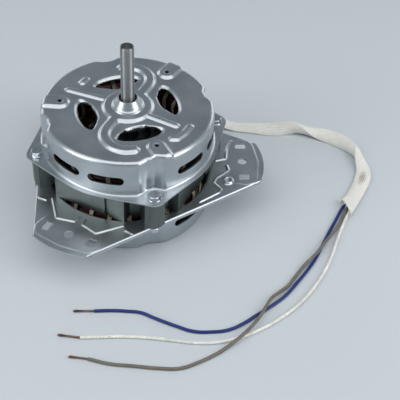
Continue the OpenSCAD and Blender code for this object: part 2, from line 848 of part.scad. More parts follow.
module upper_retainer() {
    color("#9aa0a4") translate([0, 0, upper_bush_z - retainer_drop]) retainer();
}

module lower_retainer() {
    color("#9aa0a4") translate([0, 0, lower_bush_z + retainer_drop]) mirror([0, 0, 1]) retainer();
}

module shaft() {
    groove_z = upper_boss_z - groove_len / 2;
    chamfer_r = shaft_r - shaft_chamfer;
    color("#c7cacb") rotate_extrude() polygon([
        [0, shaft_end_z], [chamfer_r, shaft_end_z], [shaft_r, shaft_end_z + shaft_chamfer],
        [shaft_r, -shoulder], [shaft_core_d / 2, -shoulder], [shaft_core_d / 2, stack_h + shoulder],
        [shaft_r, stack_h + shoulder], [shaft_r, groove_z], [shaft_r - groove_depth, groove_z],
        [shaft_r - groove_depth, groove_z + groove_len], [shaft_r, groove_z + groove_len],
        [shaft_r, shaft_top_z - shaft_chamfer], [chamfer_r, shaft_top_z], [0, shaft_top_z]
    ]);
}

module cage_bars(gap, from, h) {
    around([for (i = [0:bar_count - 1]) i * 360 / bar_count])
        translate([bar_ring_r, 0, from]) cylinder(d = bar_d + 2 * gap, h = h);
}

module rotor_core() {
    color("#77797a") difference() {
        ring(rotor_r, shaft_core_d / 2 + slip_gap, stack_h);
        cage_bars(slip_gap, -past, stack_h + 2 * past);
    }
}

// End ring with fan blades, standing on z = 0
module cage_end() {
    ring_out_r = rotor_r - bar_wall / 2;
    ring(ring_out_r, ring_in_r, ring_h);
    around([for (i = [0:blade_count - 1]) i * 360 / blade_count])
        translate([blade_in_r, -blade_t / 2, ring_h / 2])
            cube([ring_out_r - blade_in_r - blade_t / 2, blade_t, ring_h / 2 + blade_h]);
}

module rotor_cage() {
    color("#c3c7c9") {
        translate([0, 0, stack_h]) cage_end();
        mirror([0, 0, 1]) cage_end();
        cage_bars(0, -ring_h / 2, stack_h + ring_h);
    }
}

// Spacer sleeve between two levels
module spacer(from, to) {
    translate([0, 0, from]) ring(spacer_r, shaft_r + slip_gap, to - from);
}

module upper_spacer() {
    color("#a9adb0") spacer(stack_h + shoulder, upper_thrust_z);
}

module lower_spacer() {
    color("#a9adb0") spacer(lower_thrust_z + thrust_stack - seat_gap, -shoulder);
}

// Thrust washers piled from a level upwards
module thrust_washers(from) {
    for (i = [0:thrust_count - 1]) translate([0, 0, from + i * (thrust_washer_t + slip_gap)])
        ring(thrust_washer_r, shaft_r + slip_gap, thrust_washer_t);
}

module upper_thrust_washers() {
    color("#7a4a2c") thrust_washers(upper_thrust_z);
}

module lower_thrust_washers() {
    color("#7a4a2c") thrust_washers(lower_thrust_z);
}

module lead_sleeve() {
    widths = [for (i = [0:len(sleeve_route) - 1]) i < sleeve_neck_rings ? sleeve_neck : sleeve_w];
    color("#e9e4d4") tube(sleeve_route, widths, sleeve_t, sleeve_sides);
}

module blue_lead() {
    color("#12309c") round_tube(blue_route, lead_d);
}

module white_lead() {
    color("#eceae4") round_tube(white_route, lead_d);
}

module grey_lead() {
    color("#8b8478") round_tube(grey_route, lead_d);
}

// Stripped end between the last point of a route and a tip
module stripped(route, tip) {
    from = route[len(route) - 1];
    color("#a5532f") round_tube([from + mouth_gap * unit(tip - from), tip], copper_d);
}

module blue_lead_end() {
    stripped(blue_route, blue_tip);
}

module white_lead_end() {
    stripped(white_route, white_tip);
}

module grey_lead_end() {
    stripped(grey_route, grey_tip);
}

echo(least_gap_between_winding_loops = wound_gap);

upper_cover();
lower_cover();
stator_core();
slot_windings();
slot_wedges();
upper_winding();
lower_winding();
upper_ties();
lower_ties();
lead_splices();
clamp_bolts();
bolt_washers();
bolt_nuts();
upper_bearing();
lower_bearing();
upper_felt();
lower_felt();
upper_retainer();
lower_retainer();
shaft();
rotor_core();
rotor_cage();
upper_spacer();
lower_spacer();
upper_thrust_washers();
lower_thrust_washers();
lead_sleeve();
blue_lead();
white_lead();
grey_lead();
blue_lead_end();
white_lead_end();
grey_lead_end();
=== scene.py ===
import math

import bpy
import numpy as np
from mathutils import Matrix, Vector


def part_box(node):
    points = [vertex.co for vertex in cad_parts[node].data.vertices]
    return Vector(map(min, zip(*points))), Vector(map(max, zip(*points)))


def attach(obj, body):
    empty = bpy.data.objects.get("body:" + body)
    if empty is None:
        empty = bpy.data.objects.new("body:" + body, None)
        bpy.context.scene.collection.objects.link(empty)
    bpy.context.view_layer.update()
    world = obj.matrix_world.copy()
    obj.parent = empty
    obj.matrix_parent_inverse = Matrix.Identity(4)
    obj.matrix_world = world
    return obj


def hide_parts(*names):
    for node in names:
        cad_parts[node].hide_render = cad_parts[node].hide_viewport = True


bl_info = {
    "name": "Washing Machine Motor",
    "version": (1, 0, 0),
    "blender": (4, 5, 0),
    "location": "View3D > Sidebar > Motor",
    "description": "Dresses an induction motor in pressed covers, with its windings, shaft and leads",
    "category": "Object",
}

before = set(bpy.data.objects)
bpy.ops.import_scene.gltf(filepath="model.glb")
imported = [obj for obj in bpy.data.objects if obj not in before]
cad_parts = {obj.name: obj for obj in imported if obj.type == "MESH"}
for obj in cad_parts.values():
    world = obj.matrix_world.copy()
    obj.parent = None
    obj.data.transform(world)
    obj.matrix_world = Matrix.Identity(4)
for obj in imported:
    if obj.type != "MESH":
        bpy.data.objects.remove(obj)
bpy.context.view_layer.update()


def mm(value):
    """Millimetres as Blender's metres, for one number or a list of them."""
    return value * 0.001 if isinstance(value, (int, float)) else np.array(value, float) * 0.001


# Places that all pieces share, from the frame: the bolts, the core's flat sides, the pads and the arms
BOLT_ANGLES = [math.radians(14.75 + 90 * i) for i in range(4)]
SIDE_ANGLES = [a + math.pi / 4 for a in BOLT_ANGLES]
PAD_ANGLES = [math.radians(53.1 + 120 * i) for i in range(3)]
ARM_ANGLES = [math.radians(120 * i) for i in range(3)]
TABLE_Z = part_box("lower_cover")[0].z
FLANGE_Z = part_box("bolt_washers")[0].z
CORE_TOP_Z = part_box("stator_core")[1].z

# Upper cover: raised pattern, with one ridge and a copy of it turned by half a turn
RIDGE = mm([[3.5, -48.8], [-4, -48.8], [-12.3, -44], [-16.8, -35.5], [-16, -26.5], [-10, -15]])
RIBS = [
    mm([[12, -9], [34.2, -22.6]]),
    mm([[-12, 7], [-44, 21]]),
    mm([[30.9, -37.2], [34.4, -37.2], [40.1, -31.3], [44.3, -24]]),
    mm([[-33.9, 29.5], [-31.3, 33.5]]),
]
DISC_R = mm(18.5)
RIDGE_W = mm(7.5)
RIB_W = mm(6.2)
PAD_W = mm(13.4)
PAD_CIRCLE_R = mm(50.25)
# Slope of its rim across the outline, blend where ridges meet, and shares of its height that the ribs have
# and the dimples round the pads' holes lose
RIM_SLOPE = mm([-1.8, 1.4])
RIDGE_BLEND = mm(2.5)
RIB_SHARE = 0.75
DIMPLE_SHARE, DIMPLE_SLOPE = 0.2, mm([1.6, 3.4])

# Tapped holes of the pads and the collar, and play round a bolt
TAPPED_R = mm(1.7)
BOLT_PLAY = mm(0.05)

# A window of the upper cover, in a flat frame of its own that has the shaft at its origin: arcs of its inner
# and outer edges, the length over which its ends are rounded, and the tab bent down at its inner edge
WINDOW_HALF_W = mm(16.5)
INNER_ARC_AT, INNER_ARC_R = mm(51.25), mm(27.25)
OUTER_ARC_R = mm(37.3)
END_ROUND_AT, END_ROUND = mm(12.5), mm(4)
TAB_ENDS = mm([-9.3, 6.7])
NOTCH_D, NOTCH_HALF_W = mm(1.3), mm(1)
# Its rim rolls down over these widths at the inner and the outer edge, least at the inner one, and one gives
# way to the other between two distances from the shaft
ROLL_W = mm([1.5, 3.2])
ROLL_CHANGE = mm([27, 32])
INNER_ROLL_SHARE = 0.25

# Half widths of a flute at its floor and its mouth, and slots in both walls, two on each side of the motor
FLUTE_HALF_W = mm([2.5, 11])
SLOT_L, SLOT_H = mm(26.6), mm(7)
SLOT_SWING = math.radians(15)

# Lower cover: beads on the plate, along and across an arm, with the right arm apart
ARM_BEADS = [
    mm([[61.5, 30], [77.5, 16.5], [74.5, 3.5], [69.5, 2.5]]),
    mm([[65.5, 39.5], [65, 33.5]]),
]
RIGHT_BEADS = [
    mm([[81, 25], [77, 16], [75.3, 3.5], [67, 1.5]]),
    mm([[75.5, -4.5], [76.5, -10], [66.3, -18.5], [64, -24], [69, -31.4], [67.3, -34.5], [52.3, -44.5]]),
]
COLLAR_PLACE = mm([75, -21.6])
# Field round an arm's holes, raised a little: all that lies near this closed run
ARM_FIELD = mm([[80, -14], [88.5, -16.5], [90.5, 0], [88.5, 16.5], [80, 14], [80, -14]])
ARM_FIELD_R = mm(9.8)

# Leads: levels of one on the table, one that crosses another and the flat sleeve, how far inside the sleeve
# they start, and the routes of the frame's cords, from the motor to the stripped ends
LIE = TABLE_Z + mm(1.2)
OVER = LIE + mm(2.7)
FLAT = TABLE_Z + mm(1.9)
LEAD_TUCK = mm(9)


def route(rows):
    """Points in metres from rows of two millimetres and a level in metres."""
    return np.array([[mm(float(x)), mm(float(y)), level] for x, y, level in rows])


SLEEVE_ROUTE = route([
    (-3.6, 58.4, 0.009), (-3.1, 65, 0.0092), (2, 72, 0.0086), (14, 77, 0.006), (30, 79.5, 0),
    (47, 80.5, -0.009), (64, 80.5, -0.019), (80, 79.7, -0.026), (92, 78, FLAT), (103.5, 76, FLAT),
    (124.5, 72, FLAT), (145.5, 70, FLAT), (162, 66, FLAT), (177.5, 54.5, FLAT), (188, 40, FLAT),
    (191.6, 22, FLAT), (189.2, 10.5, FLAT), (183.6, -1.2, FLAT), (176.8, -13.2, FLAT), (169, -24.6, FLAT),
])
BLUE_ROUTE = route([
    (166.8, -23.6, FLAT), (158.6, -38.2, LIE), (151.4, -51, LIE), (144.8, -63.6, LIE), (139, -75, LIE),
    (131.6, -86.4, LIE), (121.3, -99.9, LIE), (111, -112.3, LIE), (99.5, -122, LIE), (87.5, -130.5, LIE),
    (78.5, -137, LIE), (67.5, -142.5, LIE), (54, -144, LIE), (42.5, -143, LIE), (31, -138, LIE),
    (16.5, -130.5, LIE), (6.5, -125, LIE), (-2.5, -123.5, LIE), (-13, -122.5, LIE), (-26, -122.5, LIE),
])
BLUE_TIP = route([(-41, -122, LIE)])[0]
WHITE_ROUTE = route([
    (172.3, -27.2, FLAT), (164.6, -41.6, LIE), (157.2, -58.2, LIE), (148.4, -79.2, LIE), (137, -99.2, LIE),
    (120.5, -120, LIE), (104.5, -133.5, LIE), (89.5, -143, LIE), (74.5, -149.5, LIE), (60.5, -153, LIE),
    (46.5, -153.5, LIE), (33, -151.5, LIE), (19.5, -149, LIE), (5.5, -147, LIE), (-8, -146, LIE),
    (-21.5, -146, LIE), (-35.5, -146, LIE),
])
WHITE_TIP = route([(-51, -143, LIE)])[0]
GREY_ROUTE = route([
    (169.6, -25.5, FLAT), (163.4, -37.8, LIE), (158.6, -46, LIE + 0.0008), (153.4, -54, LIE + 0.0022),
    (147.6, -61.6, OVER), (142, -69.6, OVER), (136.6, -76, OVER - 0.0005), (129.6, -82.6, LIE + 0.0009),
    (120.6, -94, LIE), (113.6, -103.6, LIE + 0.0004), (107, -109.8, LIE + 0.0012),
    (100.5, -116, OVER - 0.0005), (95, -125, OVER), (89.5, -134, OVER - 0.0003),
    (83, -142.5, OVER - 0.0001), (77, -149, OVER + 0.0001), (68, -156, LIE + 0.0012),
    (58.5, -162.5, LIE), (43.5, -170.5, LIE), (32, -174.5, LIE),
    (18, -174, LIE), (1, -171.5, LIE), (-15.5, -169, LIE), (-29.5, -164.5, LIE),
])
GREY_TIP = route([(-43, -162, LIE)])[0]

# Camera, from the photograph: focal length and the place of the origin in a picture 400 pixels wide
PICTURE_W = 400
FOCAL_PIXELS = 1020.03
ORIGIN_PIXEL = (128.873, 163.442)
CAMERA_DISTANCE = 0.7901
CAMERA_ELEVATION = math.radians(41.454)
CAMERA_ROLL = math.radians(-0.942)
SENSOR_W = 36

# Soft boxes: place, aim, width and height in metres, and power in watts
LAMPS = {
    "overhead_box": ((0, -0.3, 1.15), (0, 0, 0.03), 2.2, 1.2, 11.2),
    "left_box": ((-0.85, -0.42, 0.5), (0, 0, 0.03), 0.5, 0.6, 3.6),
    "right_box": ((0.85, -0.42, 0.5), (0, 0, 0.03), 0.5, 0.6, 3.6),
    "back_left_box": ((-0.85, 1, 0.32), (0, 0, 0.04), 1.1, 0.6, 2.8),
    "back_right_box": ((0.85, 1, 0.32), (0, 0, 0.04), 1.1, 0.6, 2.8),
}
WORLD_STRENGTH = 0.62
FLOOR_W = 8


def linear(code):
    """A colour written as sRGB hex, in the linear values that Blender's sockets take."""
    channels = [int(code[i:i + 2], 16) / 255 for i in (1, 3, 5)]
    return tuple(c / 12.92 if c <= 0.04045 else ((c + 0.055) / 1.055) ** 2.4 for c in channels)


def length_prop(name, description, default):
    """A length that a user may change, given in millimetres."""
    return bpy.props.FloatProperty(name=name, description=description, default=mm(float(default)), min=0,
                                   unit="LENGTH")


def colour_prop(name, description, default):
    """A colour that a user may change, given as sRGB hex."""
    return bpy.props.FloatVectorProperty(name=name, description=description, default=linear(default),
                                         subtype="COLOR", size=3, min=0, max=1)


class MotorSizes(bpy.types.PropertyGroup):
    """Sizes of the dressed pieces"""
    sheet_t: length_prop("Sheet", "Thickness of the pressed covers", 1.2)
    upper_wall_r: length_prop("Upper wall", "Outer radius of the upper cover's wall", 64)
    lower_wall_r: length_prop("Lower wall", "Outer radius of the lower cover's wall", 62.5)
    upper_depth: length_prop("Upper depth", "Height of the upper cover's flat top above the core", 30.5)
    edge_fold_r: length_prop("Edge fold", "Radius of the fold between a wall and its end", 3.5)
    base_fold_r: length_prop("Base fold", "Radius of the fold between a wall and its flange", 2.2)
    emboss_h: length_prop("Raised pattern", "Height of the raised pattern on the upper cover", 2)
    flute_d: length_prop("Flute", "Depth of the upright flutes that clear the bolts", 4)
    boss_h: length_prop("Boss", "Height of a bearing boss", 7.1)
    window_roll: length_prop("Window roll", "Drop of the rolled rim round a window", 1.8)
    bead_h: length_prop("Bead", "Height of the beads on the plate", 0.8)
    field_h: length_prop("Arm field", "Height of the raised field round an arm's holes", 0.35)
    bolt_circle_r: length_prop("Bolt circle", "Radius of the circle that the bolts stand on", 69.5)
    bolt_d: length_prop("Bolt", "Thread diameter of the bolts", 5)
    head_w: length_prop("Bolt head", "Width of a bolt head across flats", 8)
    washer_d: length_prop("Washer", "Diameter of the bolts' washers", 10)
    wire_d: length_prop("Wire", "Thickness of the wires in the end windings, drawn thick enough to show", 1.5)
    lacing_d: length_prop("Lacing", "Thickness of the lacing cord", 1.1)
    lead_d: length_prop("Lead", "Diameter of the leads", 2.4)
    copper_d: length_prop("Stripped end", "Diameter of the twisted strands at a lead's end", 1.6)
    sleeve_w: length_prop("Sleeve width", "Width of the flattened braided sleeve", 12)
    sleeve_t: length_prop("Sleeve thickness", "Thickness of the flattened braided sleeve", 3.8)


class MotorColours(bpy.types.PropertyGroup):
    """Colours of the finishes"""
    sheet: colour_prop("Plated sheet", "Zinc plated steel of the covers", "#c0c6ca")
    laminations: colour_prop("Laminations", "Cut edges of the core's sheets", "#767d7b")
    enamel: colour_prop("Wire enamel", "Enamel of the windings", "#421114")
    lacing: colour_prop("Lacing", "Cord that laces the windings", "#dfd3b4")
    fasteners: colour_prop("Fasteners", "Bright zinc of bolts, washers and nuts", "#c6ccd0")
    shaft: colour_prop("Shaft", "Ground steel", "#9ea1a3")
    braid: colour_prop("Sleeve", "Varnished glass braid", "#eceae2")
    blue: colour_prop("Blue lead", "Blue insulation", "#08266f")
    white: colour_prop("White lead", "White insulation", "#e8e6df")
    grey: colour_prop("Grey lead", "Grey insulation", "#6f6a60")
    copper: colour_prop("Copper", "Stripped strands", "#8d7166")
    floor: colour_prop("Floor", "Pale studio floor", "#c4cace")


# Small tools for meshes

def smooth(low, high, value):
    """A soft step from 0 at low to 1 at high."""
    share = np.clip((value - low) / (high - low), 0, 1)
    return share * share * (3 - 2 * share)


def soft_least(a, b, reach):
    """The lesser of two distances, blended where they are closer than reach."""
    share = np.clip(0.5 + 0.5 * (b - a) / reach, 0, 1)
    return b * (1 - share) + a * share - reach * share * (1 - share)


def turned(points, angle):
    """Flat points turned about the shaft."""
    c, s = math.cos(angle), math.sin(angle)
    return points @ np.array([[c, s], [-s, c]])


def arc(centre, radius, start, end, count):
    """Points of an arc in a flat drawing, with angles in radians."""
    angles = np.linspace(start, end, count)
    return np.array(centre) + radius * np.column_stack([np.cos(angles), np.sin(angles)])


def polygon(radius, count):
    """Corners of a regular polygon about the origin."""
    return arc((0, 0), radius, 0, 2 * math.pi * (count - 1) / count, count)


def at_angles(radius, angles):
    """Flat places on a circle."""
    return [(radius * math.cos(a), radius * math.sin(a)) for a in angles]


def run_distance(places, run):
    """Distance from flat places to a run of points."""
    best = np.full(len(places), np.inf)
    for a, b in zip(run, run[1:]):
        along = b - a
        share = np.clip((places - a) @ along / (along @ along), 0, 1)
        best = np.minimum(best, np.linalg.norm(places - a - share[:, None] * along, axis=1))
    return best


def smooth_route(points, count):
    """Evenly spaced places on a smooth curve through points, and their shares of the points' row."""
    points = np.asarray(points, float)
    padded = np.vstack([2 * points[0] - points[1], points, 2 * points[-1] - points[-2]])
    shares = np.linspace(0, len(points) - 1, 40 * len(points))
    index = np.minimum(shares.astype(int), len(points) - 2)
    t = (shares - index)[:, None]
    a, b, c, d = (padded[index + k] for k in range(4))
    curve = 0.5 * (2 * b + (c - a) * t + (2 * a - 5 * b + 4 * c - d) * t ** 2
                   + (3 * b - a - 3 * c + d) * t ** 3)
    run = np.concatenate([[0], np.cumsum(np.linalg.norm(np.diff(curve, axis=0), axis=1))])
    even = np.linspace(0, run[-1], count)
    places = np.column_stack([np.interp(even, run, column) for column in curve.T])
    return places, np.interp(even, run, shares)


def crowded(shares, angles, reach, gain):
    """Shares of a turn as angles that stand gain times as close near given angles as elsewhere."""
    fine = np.linspace(0, 2 * math.pi, 3601)
    off = np.min([np.abs((fine - a + math.pi) % (2 * math.pi) - math.pi) for a in angles], axis=0)
    density = 1 + (gain - 1) * (1 - smooth(reach * 0.8, reach * 1.2, off))
    run = np.concatenate([[0], np.cumsum((density[1:] + density[:-1]) / 2)])
    return np.interp(shares, run / run[-1], fine)


def deselect():
    """Leaves nothing selected, so that the next operator acts on the new piece alone."""
    bpy.ops.object.select_all(action="DESELECT")


def choose(*pieces):
    """Selects pieces, with the first one active."""
    deselect()
    for piece in pieces:
        piece.select_set(True)
    bpy.context.view_layer.objects.active = pieces[0]


def close_mesh(piece, outward=True):
    """Merges a mesh's seams and points its faces outwards."""
    choose(piece)
    bpy.ops.object.mode_set(mode="EDIT")
    bpy.ops.mesh.select_all(action="SELECT")
    bpy.ops.mesh.remove_doubles(threshold=mm(0.002))
    bpy.ops.mesh.delete_loose()
    bpy.ops.mesh.select_all(action="SELECT")
    if outward:
        bpy.ops.mesh.normals_make_consistent(inside=False)
    bpy.ops.object.mode_set(mode="OBJECT")


def formed_grid(name, columns, rows, shape):
    """Adds a grid and moves its points to the places that shape gives for their shares along and around."""
    deselect()
    bpy.ops.mesh.primitive_grid_add(x_subdivisions=columns, y_subdivisions=rows, size=2)
    piece = bpy.context.object
    piece.name = name
    places = np.empty(len(piece.data.vertices) * 3)
    piece.data.vertices.foreach_get("co", places)
    shares = (places.reshape(-1, 3)[:, :2] + 1) / 2
    piece.data.vertices.foreach_set("co", shape(shares[:, 0], shares[:, 1]).ravel())
    close_mesh(piece, outward=False)
    return piece


def prism(outline, low, high):
    """Adds a solid with a flat outline between two levels."""
    deselect()
    bpy.ops.mesh.primitive_circle_add(vertices=len(outline), fill_type="NGON")
    solid = bpy.context.object
    for vertex, (x, y) in zip(solid.data.vertices, outline):
        vertex.co = (x, y, low)
    bpy.ops.object.mode_set(mode="EDIT")
    bpy.ops.mesh.select_all(action="SELECT")
    bpy.ops.mesh.extrude_region_move(TRANSFORM_OT_translate={"value": (0, 0, high - low)})
    bpy.ops.object.mode_set(mode="OBJECT")
    close_mesh(solid)
    return solid


def spun(name, profile, steps=64):
    """Spins a closed outline of radii and levels about the shaft's axis."""
    deselect()
    bpy.ops.mesh.primitive_circle_add(vertices=len(profile), fill_type="NOTHING")
    piece = bpy.context.object
    piece.name = name
    for vertex, (radius, level) in zip(piece.data.vertices, profile):
        vertex.co = (radius, 0, level)
    bpy.ops.object.mode_set(mode="EDIT")
    bpy.ops.mesh.select_all(action="SELECT")
    bpy.ops.mesh.spin(steps=steps, angle=2 * math.pi, center=(0, 0, 0), axis=(0, 0, 1))
    bpy.ops.object.mode_set(mode="OBJECT")
    close_mesh(piece)
    return piece


def tube(name, points, thickness, sides=1, closed=False):
    """Adds a round tube along points, as a mesh; sides is the curve's bevel resolution."""
    data = bpy.data.curves.new(name, "CURVE")
    data.dimensions = "3D"
    data.bevel_depth = thickness / 2
    data.bevel_resolution = sides
    data.use_fill_caps = True
    spline = data.splines.new("POLY")
    spline.points.add(len(points) - 1)
    spline.points.foreach_set("co", np.column_stack([points, np.ones(len(points))]).ravel())
    spline.use_cyclic_u = closed
    piece = bpy.data.objects.new(name, data)
    bpy.context.collection.objects.link(piece)
    choose(piece)
    bpy.ops.object.convert(target="MESH")
    close_mesh(piece)
    return piece


def copy_at(piece, matrices):
    """Copies of a piece with their own meshes, one at each matrix, in place of the piece."""
    copies = []
    for matrix in matrices:
        mesh = piece.data.copy()
        mesh.transform(matrix)
        copy = bpy.data.objects.new(piece.name, mesh)
        bpy.context.collection.objects.link(copy)
        copies.append(copy)
    bpy.data.objects.remove(piece)
    return copies


def joined(name, pieces):
    """Pieces as one object."""
    choose(*pieces)
    if len(pieces) > 1:
        bpy.ops.object.join()
    pieces[0].name = name
    return pieces[0]


def apply_modifier(piece, kind, **settings):
    """Adds a modifier to a piece and applies it."""
    modifier = piece.modifiers.new(kind.title(), kind)
    for name, value in settings.items():
        setattr(modifier, name, value)
    choose(piece)
    bpy.ops.object.modifier_apply(modifier=modifier.name)


def cut(piece, cutters):
    """Takes solids away from a piece."""
    cutter = joined("cutter", cutters)
    apply_modifier(piece, "BOOLEAN", operation="DIFFERENCE", solver="MANIFOLD", object=cutter)
    bpy.data.objects.remove(cutter)


def thickened(piece, thickness, kept):
    """Gives a pressed sheet its thickness, inwards, and thins its inner face to a share of its points."""
    inner = "inner_face"
    piece.vertex_groups.new(name=inner)
    apply_modifier(piece, "SOLIDIFY", thickness=thickness, offset=-1, shell_vertex_group=inner)
    apply_modifier(piece, "DECIMATE", ratio=(1 + kept) / 2, vertex_group=inner)
    piece.vertex_groups.clear()


def dressed(piece, body, material, nodes=(), angle=40):
    """Finishes a piece: shading, material, body and the frame's nodes that it stands for."""
    if piece.type == "MESH":
        choose(piece)
        bpy.ops.object.shade_smooth_by_angle(angle=math.radians(angle))
    piece.data.materials.clear()
    piece.data.materials.append(material)
    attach(piece, body)
    if nodes:
        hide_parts(*nodes)
    return piece


# Materials: kinds of node by short names

RAMP, NOISE, WAVE, MIX = "ShaderNodeValToRGB", "ShaderNodeTexNoise", "ShaderNodeTexWave", "ShaderNodeMix"
MATH, MAPPING, PLACE, BUMP = "ShaderNodeMath", "ShaderNodeMapping", "ShaderNodeTexCoord", "ShaderNodeBump"
MULTIPLIED = {"data_type": "RGBA", "blend_type": "MULTIPLY"}


def set_inputs(tree, node, inputs):
    """Sets a node's inputs to values or links. Names have _ for a space, and i7 is input number 7."""
    for name, value in inputs.items():
        key = int(name[1:]) if name[0] == "i" and name[1:].isdigit() else name.replace("_", " ")
        if isinstance(value, bpy.types.NodeSocket):
            tree.links.new(value, node.inputs[key])
        else:
            node.inputs[key].default_value = value


def add(tree, kind, settings=None, out=0, **inputs):
    """Adds a node with settings, also a ramp's stops, and inputs, and gives one of its outputs."""
    node = tree.nodes.new(kind)
    for name, value in (settings or {}).items():
        if name != "stops":
            setattr(node, name, value)
            continue
        elements = node.color_ramp.elements
        while len(elements) < len(value):
            elements.new(0.5)
        for element, (place, colour) in zip(elements, value):
            element.position = place
            element.color = (colour,) * 3 + (1,) if isinstance(colour, (int, float)) else (*colour, 1)
    set_inputs(tree, node, inputs)
    return node.outputs[out]


def new_material(name):
    """A material, with its node tree and the place on the piece that its patterns follow."""
    material = bpy.data.materials.new(name)
    material.use_nodes = True
    return material, material.node_tree, add(material.node_tree, PLACE, out="Object")


def set_shader(tree, **inputs):
    """Sets inputs of a material's principled shader."""
    set_inputs(tree, tree.nodes["Principled BSDF"], inputs)


def shade(colour, factor):
    """A colour made darker or lighter by a factor."""
    return tuple(min(c * factor, 1) for c in colour)


def tones(colour, dark, light):
    """Stops of a ramp between two tones of a colour."""
    return {"stops": [(0.3, shade(colour, dark)), (0.7, shade(colour, light))]}


def plated_sheet(colour):
    """Zinc plated steel sheet, drawn in a press: satin metal with faint clouds and fine marks."""
    material, tree, place = new_material("zinc_plated_pressed_steel")
    clouds = add(tree, NOISE, Vector=place, Scale=1 / mm(22), Detail=4.0, Roughness=0.6)
    marks = add(tree, NOISE, Vector=place, Scale=1 / mm(0.9), Detail=3.0)
    set_shader(tree, Metallic=1,
               Base_Color=add(tree, RAMP, tones(colour, 0.88, 1.05), Fac=clouds),
               Roughness=add(tree, RAMP, {"stops": [(0.25, 0.3), (0.75, 0.38)]}, Fac=clouds),
               Normal=add(tree, BUMP, Height=marks, Strength=0.05, Distance=mm(0.1)))
    return material


def lamination_edges(colour):
    """Stack of punched electrical sheets: cut edges as level lines, with soft upright streaks of varnish."""
    material, tree, place = new_material("stacked_electrical_steel")
    level = add(tree, "ShaderNodeSeparateXYZ", out="Z", Vector=place)
    # Real sheets are 0.5 mm; the lines are drawn at 1 mm so that they show
    lines = add(tree, MATH, {"operation": "SINE"},
                i0=add(tree, MATH, {"operation": "MULTIPLY"}, i0=level, i1=2 * math.pi / mm(1)))
    upright = add(tree, MAPPING, Vector=place, Scale=(1, 1, 0.08))
    streaks = add(tree, NOISE, Vector=upright, Scale=1 / mm(6), Detail=4.0, Roughness=0.55)
    tone = add(tree, RAMP, tones(colour, 0.78, 1.08), Fac=streaks)
    lined = add(tree, MIX, MULTIPLIED, out=2, i0=0.16, i6=tone,
                i7=add(tree, RAMP, {"stops": [(0.0, 0.45), (0.6, 1.0)]}, Fac=lines))
    set_shader(tree, Metallic=1, Base_Color=lined,
               Roughness=add(tree, RAMP, {"stops": [(0.3, 0.34), (0.7, 0.46)]}, Fac=streaks),
               Normal=add(tree, BUMP, Height=lines, Strength=0.2, Distance=mm(0.08)))
    return material


def wire_enamel(colour):
    """Copper wire in dark red baked enamel: glossy, with a warm core and uneven colour from turn to turn."""
    material, tree, place = new_material("enamelled_copper_wire")
    turns = add(tree, NOISE, Vector=place, Scale=1 / mm(3), Detail=3.0)
    set_shader(tree, Metallic=0.35, Coat_Weight=0.6, Coat_Roughness=0.15,
               Base_Color=add(tree, RAMP, tones(colour, 0.5, 1.5), Fac=turns),
               Roughness=add(tree, RAMP, {"stops": [(0.3, 0.2), (0.7, 0.36)]}, Fac=turns))
    return material


def twisted_cord(name, colour, thread):
    """Cotton or glass thread twisted into a cord: matt, with the strands as slanting lines."""
    material, tree, place = new_material(name)
    strands = add(tree, WAVE, {"bands_direction": "DIAGONAL"}, out="Fac", Vector=place, Scale=1 / thread / 3,
                  Distortion=1.5, Detail=1.0)
    dirt = add(tree, NOISE, Vector=place, Scale=1 / mm(9), Detail=3.0)
    tone = add(tree, RAMP, {"stops": [(0.35, shade(colour, 0.72)), (0.65, colour)]}, Fac=dirt)
    shaded = add(tree, MIX, MULTIPLIED, out=2, i0=0.35, i6=tone,
                 i7=add(tree, RAMP, {"stops": [(0.0, 0.6), (0.5, 1.0)]}, Fac=strands))
    set_shader(tree, Sheen_Weight=0.2, Base_Color=shaded,
               Roughness=add(tree, RAMP, {"stops": [(0.0, 0.9), (1.0, 0.72)]}, Fac=strands),
               Normal=add(tree, BUMP, Height=strands, Strength=0.4, Distance=thread / 2))
    return material


def worked_metal(name, colour, roughness, grain, stretch=(1, 1, 1)):
    """Bare or plated metal: patches of gloss from its making, a grain wide and drawn out by stretch."""
    material, tree, place = new_material(name)
    drawn = add(tree, MAPPING, Vector=place, Scale=stretch)
    patches = add(tree, NOISE, Vector=drawn, Scale=1 / grain, Detail=4.0, Roughness=0.6)
    set_shader(tree, Metallic=1,
               Base_Color=add(tree, RAMP, tones(colour, 0.8, 1.05), Fac=patches),
               Roughness=add(tree, RAMP, {"stops": [(0.3, roughness * 0.8), (0.7, roughness * 1.25)]},
                             Fac=patches),
               Normal=add(tree, BUMP, Height=patches, Strength=0.1, Distance=grain / 10))
    return material


def ground_steel(colour, end_level):
    """Centreless ground steel: fine rings that draw highlights out into upright bands, and an end face darker
    than the rest.
    """
    material, tree, place = new_material("centreless_ground_steel")
    # Real grinding marks are some 0.02 mm; they are drawn at 0.4 mm so that they show
    round_shaft = add(tree, MAPPING, Vector=place, Scale=(0.02, 0.02, 1))
    rings = add(tree, NOISE, Vector=round_shaft, Scale=1 / mm(0.4), Detail=3.0)
    tone = add(tree, RAMP, tones(colour, 0.85, 1.08), Fac=rings)
    # The end face above end_level is darkened to 0.4 of the colour
    cut_end = add(tree, MATH, {"operation": "GREATER_THAN"}, i1=end_level,
                  i0=add(tree, "ShaderNodeSeparateXYZ", out="Z", Vector=place))
    set_shader(tree, Metallic=1, Anisotropic=0.95, Anisotropic_Rotation=0.25,
               Tangent=add(tree, "ShaderNodeTangent", {"direction_type": "RADIAL", "axis": "Z"}),
               Base_Color=add(tree, MIX, MULTIPLIED, out=2, i0=cut_end, i6=tone, i7=(0.4, 0.4, 0.4, 1)),
               Roughness=add(tree, RAMP, {"stops": [(0.3, 0.36), (0.7, 0.43)]}, Fac=rings),
               Normal=add(tree, BUMP, Height=rings, Strength=0.06, Distance=mm(0.02)))
    return material


